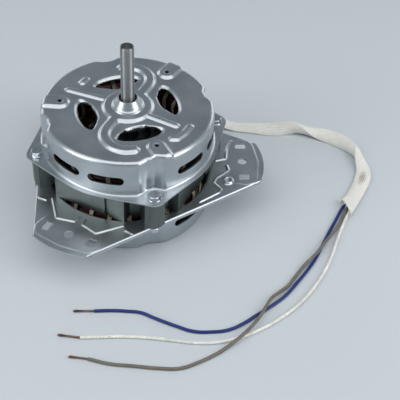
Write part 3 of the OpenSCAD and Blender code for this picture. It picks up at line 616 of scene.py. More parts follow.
def insulation(name, colour, speckle):
    """Extruded insulation: satin plastic with lengthwise scuffs, speckled by the dirt of handling."""
    material, tree, place = new_material(name)
    scuffs = add(tree, NOISE, Vector=place, Scale=1 / mm(7), Detail=4.0)
    specks = add(tree, NOISE, Vector=place, Scale=1 / mm(1.1), Detail=2.0)
    tone = add(tree, RAMP, tones(colour, 0.82, 1.1), Fac=scuffs)
    mixed = add(tree, MIX, MULTIPLIED, out=2, i0=speckle, i6=tone,
                i7=add(tree, RAMP, {"stops": [(0.38, 0.35), (0.5, 1.0)]}, Fac=specks))
    set_shader(tree, Base_Color=mixed,
               Roughness=add(tree, RAMP, {"stops": [(0.3, 0.36), (0.7, 0.5)]}, Fac=scuffs),
               Normal=add(tree, BUMP, Height=specks, Strength=0.08, Distance=mm(0.1)))
    return material


def glass_braid(colour, stain):
    """Varnished glass braid: ribs of thread along the sleeve, crossed by slanting ones, and a stain."""
    material, tree, place = new_material("varnished_glass_braid")
    on_sleeve = add(tree, PLACE, out="UV")
    # A wave node has 20 / 2 pi bands to a unit, and the sleeve has 26 ribs round it
    ribs = add(tree, WAVE, {"bands_direction": "Y"}, out="Fac", Scale=26 * math.pi / 10, Distortion=1.6,
               Detail=2.0, Vector=add(tree, MAPPING, Vector=on_sleeve, Scale=(9, 1, 1)))
    # Slanting threads lie about 2 mm apart along the sleeve
    threads = [add(tree, WAVE, {"bands_direction": "DIAGONAL"}, out="Fac",
                   Vector=add(tree, MAPPING, Vector=on_sleeve, Scale=(side * 90, 12, 1))) for side in (-1, 1)]
    crossed = add(tree, MATH, {"operation": "MAXIMUM"}, i0=threads[0], i1=threads[1])
    weave = add(tree, MATH, {"operation": "MULTIPLY_ADD"}, i0=ribs, i1=0.7,
                i2=add(tree, MATH, {"operation": "MULTIPLY"}, i0=crossed, i1=0.3))
    clouds = add(tree, NOISE, Vector=place, Scale=1 / mm(12), Detail=5.0, Roughness=0.65)
    tone = add(tree, RAMP, {"stops": [(0.35, shade(colour, 0.9)), (0.6, colour)]}, Fac=clouds)
    # The stain is about 20 mm long and a third of the sleeve wide, with a ragged rim
    spread = (0.05, 0.13)
    spot = add(tree, "ShaderNodeTexGradient", {"gradient_type": "SPHERICAL"}, out="Fac",
               Vector=add(tree, MAPPING, Vector=on_sleeve, Scale=(1 / spread[0], 1 / spread[1], 0),
                          Location=(-stain[0] / spread[0], -stain[1] / spread[1], 0)))
    grime = add(tree, MATH, {"operation": "MULTIPLY"}, i0=spot,
                i1=add(tree, NOISE, Vector=place, Scale=1 / mm(1.6), Detail=5.0, Roughness=0.75))
    soiled = add(tree, MIX, {"data_type": "RGBA"}, out=2, i6=tone, i7=linear("#8a8069") + (1,),
                 i0=add(tree, RAMP, {"stops": [(0.15, 0.0), (0.4, 0.65)]}, Fac=grime))
    woven = add(tree, MIX, MULTIPLIED, out=2, i0=0.75, i6=soiled,
                i7=add(tree, RAMP, {"stops": [(0.1, 0.5), (0.5, 1.0)]}, Fac=weave))
    set_shader(tree, Sheen_Weight=0.15, Base_Color=woven,
               Roughness=add(tree, RAMP, {"stops": [(0.3, 0.75), (1.0, 0.5)]}, Fac=weave),
               Normal=add(tree, BUMP, Height=weave, Strength=0.45, Distance=mm(0.25)))
    return material


def matt_sheet(name, colour, fibre):
    """Felt, paper or resin laminate: matt, with clumps of fibre."""
    material, tree, place = new_material(name)
    clumps = add(tree, NOISE, Vector=place, Scale=1 / fibre, Detail=5.0, Roughness=0.7)
    set_shader(tree,
               Base_Color=add(tree, RAMP, tones(colour, 0.7, 1), Fac=clumps),
               Roughness=add(tree, RAMP, {"stops": [(0.3, 0.95), (0.7, 0.75)]}, Fac=clumps),
               Normal=add(tree, BUMP, Height=clumps, Strength=0.3, Distance=fibre / 4))
    return material


def studio_floor(colour):
    """Matt painted board: pale, with barely seen unevenness."""
    material, tree, place = new_material("pale_painted_board")
    clouds = add(tree, NOISE, Vector=place, Scale=1 / mm(260), Detail=2.0)
    set_shader(tree, Roughness=0.9, Specular_IOR_Level=0.15,
               Base_Color=add(tree, RAMP, tones(colour, 0.985, 1), Fac=clouds))
    return material


# Stage

def add_lamp(name, place, aim, width, height, power):
    """A soft box of light at a place, turned to a point."""
    data = bpy.data.lights.new(name, "AREA")
    data.shape = "RECTANGLE"
    data.size = width
    data.size_y = height
    data.energy = power
    lamp = bpy.data.objects.new(name, data)
    lamp.location = place
    lamp.rotation_euler = (Vector(aim) - Vector(place)).to_track_quat("-Z", "Y").to_euler()
    bpy.context.scene.collection.objects.link(lamp)


def camera_matrix():
    """Place and turn of the photograph's camera, which is aimed at the origin and then turned to frame it."""
    e = CAMERA_ELEVATION
    right, down = Vector((1, 0, 0)), Vector((0, -math.sin(e), -math.cos(e)))
    ahead = Vector((0, math.cos(e), -math.sin(e)))
    tilt = math.atan((ORIGIN_PIXEL[1] - PICTURE_W / 2) / FOCAL_PIXELS)
    pan = math.atan((ORIGIN_PIXEL[0] - PICTURE_W / 2) / FOCAL_PIXELS)
    turn = Matrix.Rotation(pan, 3, "Y") @ Matrix.Rotation(-tilt, 3, "X")
    axes = turn @ Matrix.Rotation(CAMERA_ROLL, 3, "Z") @ Matrix((right, down, ahead))
    columns = Matrix((axes[0], -axes[1], -axes[2])).transposed()
    return Matrix.Translation(-ahead * CAMERA_DISTANCE) @ columns.to_4x4()


class MOTOR_OT_stage(bpy.types.Operator):
    """Pale floor, soft lamps, world and the photograph's camera"""
    bl_idname = "motor.stage"
    bl_label = "Stage"

    def execute(self, context):
        scene = context.scene
        deselect()
        bpy.ops.mesh.primitive_plane_add(size=FLOOR_W, location=(0, 0, TABLE_Z - mm(0.05)))
        floor = context.object
        floor.name = "studio_floor"
        bpy.ops.object.transform_apply(location=True)
        floor.data.materials.append(studio_floor(scene.motor_colours.floor))
        for name, settings in LAMPS.items():
            add_lamp(name, *settings)
        world = bpy.data.worlds.new("studio")
        world.use_nodes = True
        tree = world.node_tree
        height = add(tree, "ShaderNodeSeparateXYZ", out="Z", Vector=add(tree, PLACE, out="Generated"))
        sky = add(tree, RAMP, {"stops": [(0.0, linear("#dfe5ea")), (0.35, linear("#aab4bb")),
                                         (1.0, linear("#88939b"))]}, Fac=height)
        set_inputs(tree, tree.nodes["Background"], {"Color": sky, "Strength": WORLD_STRENGTH})
        scene.world = world
        scene.view_settings.view_transform = "Standard"
        data = bpy.data.cameras.new("photograph_camera")
        data.sensor_width = SENSOR_W
        data.lens = SENSOR_W * FOCAL_PIXELS / PICTURE_W
        data.clip_start = 0.05
        camera = bpy.data.objects.new("photograph_camera", data)
        camera.matrix_world = camera_matrix()
        scene.collection.objects.link(camera)
        scene.camera = camera
        return {"FINISHED"}


# Leads

def add_lead(colour, points, diameter, material):
    """One lead as a smooth curve along its route, which starts a little way inside the sleeve."""
    inside = SLEEVE_ROUTE[-2] - SLEEVE_ROUTE[-1]
    points = np.vstack([points[0] + inside * LEAD_TUCK / np.linalg.norm(inside), points])
    data = bpy.data.curves.new(colour + "_wire", "CURVE")
    data.dimensions = "3D"
    data.bevel_depth = diameter / 2
    data.bevel_resolution = 5
    data.resolution_u = 10
    data.use_fill_caps = True
    spline = data.splines.new("BEZIER")
    spline.bezier_points.add(len(points) - 1)
    for knot, place in zip(spline.bezier_points, points):
        knot.co = place
        knot.handle_left_type = knot.handle_right_type = "AUTO"
    # Handles no lower than the lying lead keep the curve on the table between its points
    for knot in spline.bezier_points:
        knot.handle_left_type = knot.handle_right_type = "FREE"
        for handle in (knot.handle_left, knot.handle_right):
            handle.z = max(handle.z, LIE)
    lead = bpy.data.objects.new(data.name, data)
    bpy.context.collection.objects.link(lead)
    bpy.context.view_layer.update()
    dressed(lead, "housing", material, [colour + "_lead"])


class MOTOR_OT_leads(bpy.types.Operator):
    """Three leads from the sleeve's mouth to their stripped ends"""
    bl_idname = "motor.leads"
    bl_label = "Leads"

    def execute(self, context):
        sizes, colours = context.scene.motor_sizes, context.scene.motor_colours
        copper = worked_metal("twisted_copper_strands", colours.copper, 0.34, mm(1.5))
        for colour, points, tip, speckle in (("blue", BLUE_ROUTE, BLUE_TIP, 0.15),
                                             ("white", WHITE_ROUTE, WHITE_TIP, 0.3),
                                             ("grey", GREY_ROUTE, GREY_TIP, 0.25)):
            end = stripped_end(colour + "_strands", points[-1], tip, sizes.copper_d)
            dressed(end, "housing", copper, [colour + "_lead_end"])
            skin = insulation(colour + "_extruded_insulation", getattr(colours, colour), speckle)
            add_lead(colour, points, sizes.lead_d, skin)
        return {"FINISHED"}


def stripped_end(name, start, tip, diameter):
    """Seven strands twisted together, a little loose at the tip."""
    along = tip - start
    across = np.cross([0, 0, 1], along) / np.linalg.norm(along)
    strand, twists = diameter / 3, 2.2
    shares = np.linspace(-0.04, 1, 40)
    strands = [tube(name, start + shares[:, None] * along, strand)]
    for i in range(6):
        angle = 2 * math.pi * (i / 6 + twists * shares)
        spread = strand * (0.98 + 0.35 * smooth(0.6, 1, shares) * (i % 3))
        reach = shares * (1 - 0.05 * (i % 3))
        places = start + reach[:, None] * along + (spread * np.cos(angle))[:, None] * across
        places[:, 2] += np.maximum(spread * np.sin(angle), TABLE_Z + strand / 2 - start[2])
        strands.append(tube(name, places, strand))
    return joined(name, strands)


class MOTOR_OT_sleeve(bpy.types.Operator):
    """Flattened braided sleeve that twists on its way to the table, with a frayed open mouth"""
    bl_idname = "motor.sleeve"
    bl_label = "Sleeve"

    # At each point of the route, width and thickness as shares of the full ones
    WIDTHS = [0.6, 0.6, 0.62, 0.7, 0.76, 0.78, 0.78, 0.78, 0.8, 0.86,
              1.02, 1.05, 1.02, 1, 0.86, 0.98, 1.06, 1.02, 1, 1.02]
    BULGES = [0.9, 0.9, 0.9, 0.9, 0.9, 0.9, 0.9, 0.9, 0.9, 1, 1.3, 2, 1.6, 1.1, 2, 1, 0.9, 0.9, 1, 1.5]
    # Roll in degrees at points counted along the route: two half twists
    ROLLS = [(0, 0), (4, 3), (7, 10), (8, 12), (9, 14), (9.6, 24), (10.1, 40), (10.5, 70), (10.9, 110),
             (11.3, 148), (11.8, 182), (12.3, 208), (13, 222), (13.5, 236), (13.9, 262), (14.2, 305),
             (14.5, 338), (15, 354), (16, 360), (19, 360)]
    # Knot of the route that the stain lies at, and its share of the way round
    STAIN = (16.1, 0.74)
    # Rings along the sleeve, points round each one, and rings that the roll is averaged over
    RINGS, STEPS, MEAN = 241, 40, 9
    # Knots between which the section opens, its roundness before and after, and how much wider it gets
    MOUTH, ROUNDNESS, FLARE = (17.8, 19), (1.5, 1.1), 0.14
    # How far the mouth slants and is set back, and the thickness of the braid
    SLANT, SET_BACK, WALL = mm(4.6), mm(1.2), mm(0.45)
    # Frayed threads: thickness, shortest and longest in millimetres, and how far they lean and stray
    FRAY_D, FRAY_L, FRAY_LEAN = mm(0.36), (1, 3.4), 0.35

    def execute(self, context):
        sizes, colours = context.scene.motor_sizes, context.scene.motor_colours
        places, knots = smooth_route(SLEEVE_ROUTE, self.RINGS)
        points = np.arange(len(SLEEVE_ROUTE))
        widths = np.interp(knots, points, self.WIDTHS) * sizes.sleeve_w / 2
        bulges = np.interp(knots, points, self.BULGES) * sizes.sleeve_t / 2
        rolls = np.interp(knots, *zip(*self.ROLLS))
        # A running mean takes the kinks out of the roll
        rolls = np.pad(rolls, self.MEAN // 2, "edge")
        rolls = np.radians(np.convolve(rolls, np.full(self.MEAN, 1 / self.MEAN), "valid"))
        ways = np.gradient(places, axis=0)
        ways /= np.linalg.norm(ways, axis=1)[:, None]
        side = np.cross([0, 0, 1], ways)
        side /= np.linalg.norm(side, axis=1)[:, None]
        rise = np.cross(ways, side)
        across = np.cos(rolls)[:, None] * side + np.sin(rolls)[:, None] * rise
        above = np.cos(rolls)[:, None] * rise - np.sin(rolls)[:, None] * side

        # Rings of a lens-shaped section, which opens to an oval at the slanting mouth
        angle = -2 * math.pi * np.arange(self.STEPS + 1) / self.STEPS
        open_share = smooth(*self.MOUTH, knots)[:, None]
        flat = np.cos(angle)[None, :] * (1 + self.FLARE * open_share)
        closed, opened = self.ROUNDNESS
        lens = np.sign(np.sin(angle)) * np.abs(np.sin(angle)) ** (closed + (opened - closed) * open_share)
        slant = open_share * (self.SLANT * flat - self.SET_BACK)
        rings = ((widths[:, None] * flat)[:, :, None] * across[:, None]
                 + (bulges[:, None] * lens)[:, :, None] * above[:, None]
                 + slant[:, :, None] * ways[:, None])
        places[:, 2] = np.maximum(places[:, 2], TABLE_Z - rings[:, :, 2].min(axis=1))
        rings += places[:, None]

        def shape(along, around):
            ring, step = np.rint(along * (self.RINGS - 1)), np.rint(around * self.STEPS)
            return rings[ring.astype(int), step.astype(int)]

        sleeve = formed_grid("braided_sleeve", self.RINGS - 1, self.STEPS, shape)
        apply_modifier(sleeve, "SOLIDIFY", thickness=self.WALL, offset=-1)
        frays = self.frayed_threads(rings[-1, :-1], ways[-1], places[-1])
        stain = (float(np.interp(self.STAIN[0], knots, np.linspace(0, 1, len(knots)))), self.STAIN[1])
        dressed(sleeve, "housing", glass_braid(colours.braid, stain), ["lead_sleeve"])
        dressed(frays, "housing", twisted_cord("frayed_glass_thread", colours.braid, mm(0.3)))
        return {"FINISHED"}

    def frayed_threads(self, rim, way, middle):
        """Loose threads round the mouth's rim."""
        chance = np.random.default_rng(7)
        threads = []
        for start in rim:
            outward = (start - middle) / np.linalg.norm(start - middle)
            lean = way + self.FRAY_LEAN * outward + chance.normal(0, self.FRAY_LEAN, 3)
            steps = np.linspace(-0.3, 1, 5)[:, None] * mm(float(chance.uniform(*self.FRAY_L)))
            places = start + steps * lean
            places[:, 2] = np.maximum(places[:, 2], TABLE_Z + mm(0.2))
            threads.append(tube("frayed_threads", places, self.FRAY_D))
        return joined("frayed_threads", threads)


# Covers

def flute_depth(angle, radius, depth):
    """How far the upright flutes draw a wall in at an angle."""
    inward = np.zeros(len(angle))
    for bolt in BOLT_ANGLES:
        off = np.abs((angle - bolt + math.pi) % (2 * math.pi) - math.pi) * radius
        inward = np.maximum(inward, depth * (1 - smooth(*FLUTE_HALF_W, off)))
    return inward


def window_edges(across):
    """Inner and outer edge of a window at a distance from its middle line, in its own flat frame."""
    inner = INNER_ARC_AT - np.sqrt(INNER_ARC_R ** 2 - across ** 2)
    outer = np.sqrt(OUTER_ARC_R ** 2 - across ** 2)
    past = np.clip(np.abs(across) - END_ROUND_AT, 0, None) / END_ROUND
    blunt = np.sqrt(np.clip(1 - past ** 2, 0, 1))
    middle, half = (inner + outer) / 2, (outer - inner) / 2 * blunt
    return middle - half, middle + half


def window_outline():
    """A lens-shaped window with a notch at each end of its tab."""
    across = WINDOW_HALF_W * np.sin(np.linspace(-math.pi / 2, math.pi / 2, 41))
    inner, outer = window_edges(across)
    notch = np.zeros(len(across))
    for end in TAB_ENDS:
        notch = np.maximum(notch, NOTCH_D * (1 - np.clip(np.abs(across - end) / NOTCH_HALF_W, 0, 1)))
    return np.vstack([np.column_stack([outer, across]), np.column_stack([inner - notch, across])[-2:0:-1]])


def raised_share(places):
    """Share of the full height that the upper cover's raised pattern has at flat places."""
    gap = np.linalg.norm(places, axis=1) - DISC_R
    ridge = smooth_route(RIDGE, 40)[0]
    for run in (ridge, turned(ridge, math.pi)):
        gap = soft_least(gap, run_distance(places, run) - RIDGE_W / 2, RIDGE_BLEND)
    past_wall = mm(80)
    for angle in PAD_ANGLES:
        pad = turned(np.array([[PAD_CIRCLE_R, 0], [past_wall, 0]]), angle)
        gap = np.minimum(gap, run_distance(places, pad) - PAD_W / 2)
    share = 1 - smooth(*RIM_SLOPE, gap)
    # Ribs are half-round, a little lower than the rest and softened at the foot
    for rib in RIBS:
        arch = 1 - (2 * run_distance(places, rib) / RIB_W) ** 2
        share = np.maximum(share, RIB_SHARE * (arch + np.sqrt(arch ** 2 + 0.03)) / 2)
    for x, y in at_angles(PAD_CIRCLE_R, PAD_ANGLES):
        from_hole = np.hypot(places[:, 0] - x, places[:, 1] - y)
        share -= DIMPLE_SHARE * (1 - smooth(*DIMPLE_SLOPE, from_hole))
    return share


def rolled_drop(places, depth):
    """How far the sheet rolls down at flat places round the windows, most at their tabs."""
    drop = np.zeros(len(places))
    outline = window_outline()
    end = WINDOW_HALF_W - mm(0.01)
    tab_middle, tab_half_w = TAB_ENDS.mean(), np.ptp(TAB_ENDS) / 2
    for bolt in BOLT_ANGLES:
        own = turned(places, -bolt)
        # Only places in a box round the window are looked at
        near = (np.abs(own[:, 1]) < mm(22)) & (own[:, 0] > mm(16)) & (own[:, 0] < mm(44))
        out, across = own[near].T
        inner, outer = window_edges(np.clip(across, -end, end))
        inside = (out > inner) & (out < outer) & (np.abs(across) < WINDOW_HALF_W)
        gap = np.where(inside, 0, run_distance(own[near], np.vstack([outline, outline[:1]])))
        # The outer edge is rolled widely, the inner one hardly, and the tab is bent sharply
        outside = smooth(*ROLL_CHANGE, out)
        at_tab = smooth(tab_half_w, tab_half_w - mm(1.5), np.abs(across - tab_middle)) * (1 - outside)
        share = INNER_ROLL_SHARE + (1 - INNER_ROLL_SHARE) * np.maximum(outside, at_tab)
        reach = ROLL_W[0] + (ROLL_W[1] - ROLL_W[0]) * outside
        drop[near] = depth * share * np.clip(1 - gap / reach, 0, 1) ** 2
    return drop


def slot_cutters(wall_r, level):
    """Round-ended slots through a wall, two on each side."""
    reach, quarter = (SLOT_L - SLOT_H) / 2, math.pi / 2
    ends = [arc((reach, 0), SLOT_H / 2, -quarter, quarter, 10),
            arc((-reach, 0), SLOT_H / 2, quarter, 3 * quarter, 10)]
    slot = prism(np.vstack(ends), -wall_r / 8, wall_r / 8)
    upright = Matrix.Rotation(quarter, 4, "Z") @ Matrix.Rotation(quarter, 4, "X")
    out = Matrix.Translation((wall_r * math.cos(SLOT_SWING), 0, level))
    return copy_at(slot, [Matrix.Rotation(side + swing, 4, "Z") @ out @ upright
                          for side in SIDE_ANGLES for swing in (-SLOT_SWING, SLOT_SWING)])


def drill_cutters(radius, places, low, high):
    """Round drills through flat places."""
    drill = prism(polygon(radius, 24), low, high)
    return copy_at(drill, [Matrix.Translation((x, y, 0)) for x, y in places])


def bolt_drills(sizes, low, high):
    """Drills for the clamp bolts' holes."""
    places = at_angles(sizes.bolt_circle_r, BOLT_ANGLES)
    return drill_cutters(sizes.bolt_d / 2 + BOLT_PLAY, places, low, high)


class MOTOR_OT_upper_cover(bpy.types.Operator):
    """Upper pressed cover: raised pattern, pads, rolled windows, flutes, side slots, lobed flange and boss"""
    bl_idname = "motor.upper_cover"
    bl_label = "Upper Cover"

    # Radius and level of the boss's lip, from the boss's top, and of its foot, from the cover's top
    LIP = mm([[6.7, -0.5], [6.75, -0.15], [7.05, 0], [7.6, -0.15]])
    FOOT = mm([11, 1.5])
    FOOT_ROUND, FOOT_ROUND_R = mm([11.3, 0.6]), mm(0.62)
    TOP_R = mm(12.2)
    # Flange: its ring, its lobes round the bolts, and rows of points across it
    RING_R, LOBE_R, FLANGE_ROWS = mm(67.5), mm(8), 5
    # Flutes: where they start, their share of the full depth there, and what they gain down the wall
    FLUTE_START_R, FLUTE_SHARE, FLUTE_GAIN = mm(48), 0.78, 0.3
    # How far down the wall a pad runs out, and the level of the slots above the core
    PAD_RUN_OUT, SLOT_LEVEL = mm(15), mm(14)
    # Tabs: radius of their outer face and toe, both ends, and their reach below the cover's top
    TAB_FACE, TAB_TOE, TAB_SPAN, TAB_DROP = mm(24), mm(21.4), mm([-6, 8.6]), mm(4.2)
    COLUMNS = 600

    def execute(self, context):
        sizes, colours = context.scene.motor_sizes, context.scene.motor_colours
        top = CORE_TOP_Z + sizes.upper_depth
        wall, fold, base = sizes.upper_wall_r, sizes.edge_fold_r, sizes.base_fold_r
        root, lip = wall + base, self.LIP + (0, top + sizes.boss_h)
        profile = np.vstack([
            lip[:3],
            np.linspace(lip[3], self.FOOT + (0, top), 6),
            arc(self.FOOT_ROUND + (0, top), self.FOOT_ROUND_R, math.radians(75), math.radians(-20), 6),
            np.linspace((self.TOP_R, top), (wall - fold, top), 84)[:-1],
            arc((wall - fold, top - fold), fold, math.pi / 2, 0, 9)[:-1],
            np.linspace((wall, top - fold), (wall, FLANGE_Z + base), 9)[:-1],
            arc((root, FLANGE_Z + base), base, math.pi, 1.5 * math.pi, 7),
            np.linspace((root, FLANGE_Z), (root + mm(1), FLANGE_Z), self.FLANGE_ROWS + 1)[1:],
        ])
        flange_rows = np.arange(len(profile)) - (len(profile) - 1 - self.FLANGE_ROWS)

        def shape(along, around):
            row = np.rint(along * (len(profile) - 1)).astype(int)
            radius, level = profile[row].T
            angle = 2 * math.pi * around
            flat = np.column_stack([radius * np.cos(angle), radius * np.sin(angle)])
            # A raised pad lifts the fold at its outer end, and its height runs out down the wall
            on_top = smooth(top - self.PAD_RUN_OUT, top - fold, level)
            depth = sizes.flute_d * (self.FLUTE_SHARE + self.FLUTE_GAIN * smooth(top, FLANGE_Z, level))
            drawn = smooth(self.FLUTE_START_R, wall - fold, radius)
            level = level + sizes.emboss_h * raised_share(flat) * on_top
            level -= rolled_drop(flat, sizes.window_roll) * on_top
            radius = radius - flute_depth(angle, wall, depth) * drawn
            out = np.clip(flange_rows[row] / self.FLANGE_ROWS, 0, 1)
            radius = radius + out * (self.flange_edge(angle, sizes) - radius)
            return np.column_stack([radius * np.cos(angle), radius * np.sin(angle), level])

        cover = formed_grid("upper_cover_pressing", len(profile) - 1, self.COLUMNS, shape)
        thickened(cover, sizes.sheet_t, kept=0.2)
        above = top + mm(8)
        window = prism(window_outline(), top - mm(9), above)
        cut(cover, copy_at(window, [Matrix.Rotation(a, 4, "Z") for a in BOLT_ANGLES]))
        cut(cover, slot_cutters(wall, CORE_TOP_Z + self.SLOT_LEVEL))
        holes = drill_cutters(TAPPED_R, at_angles(PAD_CIRCLE_R, PAD_ANGLES), top - mm(2), above)
        holes += bolt_drills(sizes, CORE_TOP_Z - mm(3), FLANGE_Z + mm(3))
        cut(cover, holes)
        cover = joined(cover.name, [cover, *self.tabs(top, sizes)])
        dressed(cover, "housing", plated_sheet(colours.sheet), ["upper_cover"], angle=35)
        return {"FINISHED"}

    def flange_edge(self, angle, sizes):
        """Radius of the flange's edge: a circle with tangent lobes round the bolts."""
        ring, lobe, reach = self.RING_R, self.LOBE_R, sizes.bolt_circle_r
        spread = math.acos((ring - lobe) / reach)
        edge = np.full(len(angle), ring)
        for bolt in BOLT_ANGLES:
            off = np.abs((angle - bolt + math.pi) % (2 * math.pi) - math.pi)
            on_lobe = reach * np.cos(off) + np.sqrt(np.clip(lobe ** 2 - (reach * np.sin(off)) ** 2, 0, None))
            on_line = ring / np.cos(np.clip(spread - off, -1, 1))
            lobe_end = math.atan2(lobe * math.sin(spread), reach + lobe * math.cos(spread))
            edge = np.where(off < lobe_end, on_lobe, np.where(off < spread, on_line, edge))
        return edge

    def tabs(self, top, sizes):
        """Tabs bent down at the windows' inner edges, with their feet turned in."""
        t, face, toe = sizes.sheet_t, self.TAB_FACE, self.TAB_TOE
        root, foot = top - mm(1.2), top - self.TAB_DROP
        side = np.array([[face - t, root], [face, root], [face, foot + mm(0.8)], [face - mm(0.4), foot],
                         [toe, foot], [toe, foot + t], [face - t, foot + t]])
        tab = prism(side, *self.TAB_SPAN)
        upright = Matrix.Rotation(math.pi / 2, 4, "X")
        return copy_at(tab, [Matrix.Rotation(a, 4, "Z") @ upright for a in BOLT_ANGLES])


class MOTOR_OT_lower_cover(bpy.types.Operator):
    """Lower pressed cover in one stamping with the three-armed mounting plate"""
    bl_idname = "motor.lower_cover"
    bl_label = "Lower Cover"

    # Plate, from the shaft: middle of its straight edges, and corners and middle of its arms' ends
    EDGE_R, CORNER_R, END_R = mm(69.5), mm(100), mm(104.5)
    # Rows of points across the plate, and how far in from the edge its lip starts
    PLATE_ROWS, LIP_START = 56, mm(1.5)
    # How far each row of the lip is in from the edge and below the plate
    LIP = mm([[0.9, 0.12], [0.4, 0.42], [0.1, 0.95], [0, 1.6], [0, 3]])
    # Radii of the floor, from the middle out: boss, its slope, the hollow, the hollow's slope and the flat
    # floor, and how far the boss stays above the table
    BOSS, BOSS_SLOPE = mm([6.7, 7.2]), mm([7.5, 10.3])
    HOLLOW, HOLLOW_SLOPE = mm([11.5, 27]), mm([28.3, 30.8])
    FLOOR_R, BOSS_LIFT = mm(32), mm(1)
    # Columns round the cover, which stand closer within this angle of an arm
    COLUMNS, ARM_SPAN, ARM_GAIN = 660, math.radians(26), 2
    FLUTE_START_R, FLUTE_SHARE = mm(44), 0.62
    SLOT_LEVEL = mm(-14.5)
    # Half a bead's width, the slope round an arm's raised field, and where the field rises from the plate
    BEAD_HALF_W, FIELD_SLOPE, FIELD_START = mm(1.35), mm([-0.45, 0.45]), mm([74, 84])
    # Arm holes, the square-cornered holes beside them, and vents in the floor
    HOLE_R, HOLE_CIRCLE_R = mm(3.6), mm(87.95)
    SQUARE_HALF, SQUARE_OFF = mm([4, 3]), mm(18.2)
    VENTS, VENT_R, VENT_HALF_L, VENT_CIRCLE_R = 8, mm(4), mm(7), mm(45.5)
    # Radii and levels of the tapped collar
    COLLAR = mm([[1.7, -1.1], [1.7, 1], [2, 1.35], [2.6, 1.6], [3.2, 1.6], [3.6, 1.4], [4, 0.8],
                 [4.4, 0.35], [5, 0.05], [5.5, -0.1], [5.5, -0.6]])

    def execute(self, context):
        sizes, colours = context.scene.motor_sizes, context.scene.motor_colours
        t = sizes.sheet_t
        wall, fold, base = sizes.lower_wall_r - t, sizes.edge_fold_r - t, sizes.base_fold_r + t
        floor, boss = TABLE_Z + t, TABLE_Z + t + self.BOSS_LIFT
        hollow = boss + sizes.boss_h
        slopes = [*zip(self.BOSS_SLOPE, (boss + mm(0.4), hollow - mm(1.2))),
                  *zip(self.HOLLOW_SLOPE, (hollow - mm(0.6), floor + mm(0.8)))]
        lip_rows = len(self.LIP)
        profile = np.vstack([
            [(radius, boss) for radius in self.BOSS],
            np.linspace(*slopes[:2], 7),
            np.linspace((self.HOLLOW[0], hollow), (self.HOLLOW[1], hollow), 9),
            np.linspace(*slopes[2:], 6),
            np.linspace((self.FLOOR_R, floor), (wall - fold, floor), 14)[:-1],
            arc((wall - fold, floor + fold), fold, -math.pi / 2, 0, 6)[:-1],
            np.linspace((wall, floor + fold), (wall, -base), 9)[:-1],
            arc((wall + base, -base), base, math.pi, math.pi / 2, 7),
            np.linspace((wall + base, 0), (wall + base + mm(1), 0), self.PLATE_ROWS + lip_rows + 1)[1:],
        ])
        first_plate = len(profile) - 1 - self.PLATE_ROWS - lip_rows
        plate_shares = np.clip((np.arange(len(profile)) - first_plate) / self.PLATE_ROWS, 0, 1)
        # The last rows fold the edge over into the lip
        flat_rows = np.tile((self.LIP_START, 0), (len(profile) - lip_rows, 1))
        lip_in, lip_down = np.vstack([flat_rows, self.LIP]).T

        def shape(along, around):
            row = np.rint(along * (len(profile) - 1)).astype(int)
            radius, level = profile[row].T
            angle = crowded(around, ARM_ANGLES, self.ARM_SPAN, self.ARM_GAIN)
            share = plate_shares[row]
            drawn = smooth(self.FLUTE_START_R, wall - fold, radius) * (1 - share)
            radius = radius - flute_depth(angle, wall, sizes.flute_d * self.FLUTE_SHARE) * drawn
            edge, lipped = self.plate_edge(angle)
            radius = radius + share * (edge - lip_in[row] - radius)
            flat = np.column_stack([radius * np.cos(angle), radius * np.sin(angle)])
            raised = sizes.bead_h * self.bead_share(flat) + sizes.field_h * self.field_share(flat)
            level = level + raised * (share > 0) - lip_down[row] * lipped
            return np.column_stack([flat, level])

        cover = formed_grid("lower_cover_pressing", len(profile) - 1, self.COLUMNS, shape)
        thickened(cover, t, kept=0.15)
        cut(cover, slot_cutters(sizes.lower_wall_r, self.SLOT_LEVEL))
        cut(cover, self.plate_cutters(sizes))
        cut(cover, self.vent_cutters())
        cover = joined(cover.name, [cover, self.collar()])
        sheet = bpy.data.materials["zinc_plated_pressed_steel"]
        dressed(cover, "housing", sheet, ["lower_cover"], angle=35)
        return {"FINISHED"}

    def plate_edge(self, angle):
        """Radius of the plate's edge at an angle, and 1 where the edge carries a lip."""
        side = (self.EDGE_R - self.CORNER_R * math.cos(math.pi / 3)) / math.sin(math.pi / 3)
        crown = self.END_R - self.CORNER_R
        round_r = (side ** 2 + crown ** 2) / (2 * crown)
        centre = self.END_R - round_r
        off = (angle + math.pi / 3) % (2 * math.pi / 3) - math.pi / 3
        corner = math.atan2(side, self.CORNER_R)
        at_end = centre * np.cos(off) + np.sqrt(round_r ** 2 - (centre * np.sin(off)) ** 2)
        along = self.EDGE_R / np.cos(math.pi / 3 - np.abs(off))
        lipped = (np.abs(off) > corner + 0.001).astype(float)
        return np.where(lipped > 0, along, at_end), lipped

    def bead_share(self, flat):
        """Share of the full height that the plate's beads have at flat places."""
        beads = list(RIGHT_BEADS)
        for angle in ARM_ANGLES[1:]:
            for bead in ARM_BEADS:
                beads += [turned(bead, angle), turned(bead * (1, -1), angle)]
        gap = np.min([run_distance(flat, bead) for bead in beads], axis=0)
        return 1 - smooth(0, self.BEAD_HALF_W, gap)

    def field_share(self, flat):
        """Share of the full height that the raised fields round the arms' holes have at flat places."""
        share = np.zeros(len(flat))
        for angle in ARM_ANGLES:
            own = turned(flat, -angle)
            inside = 1 - smooth(*self.FIELD_SLOPE, run_distance(own, ARM_FIELD) - ARM_FIELD_R)
            share = np.maximum(share, inside * smooth(*self.FIELD_START, own[:, 0]))
        return share

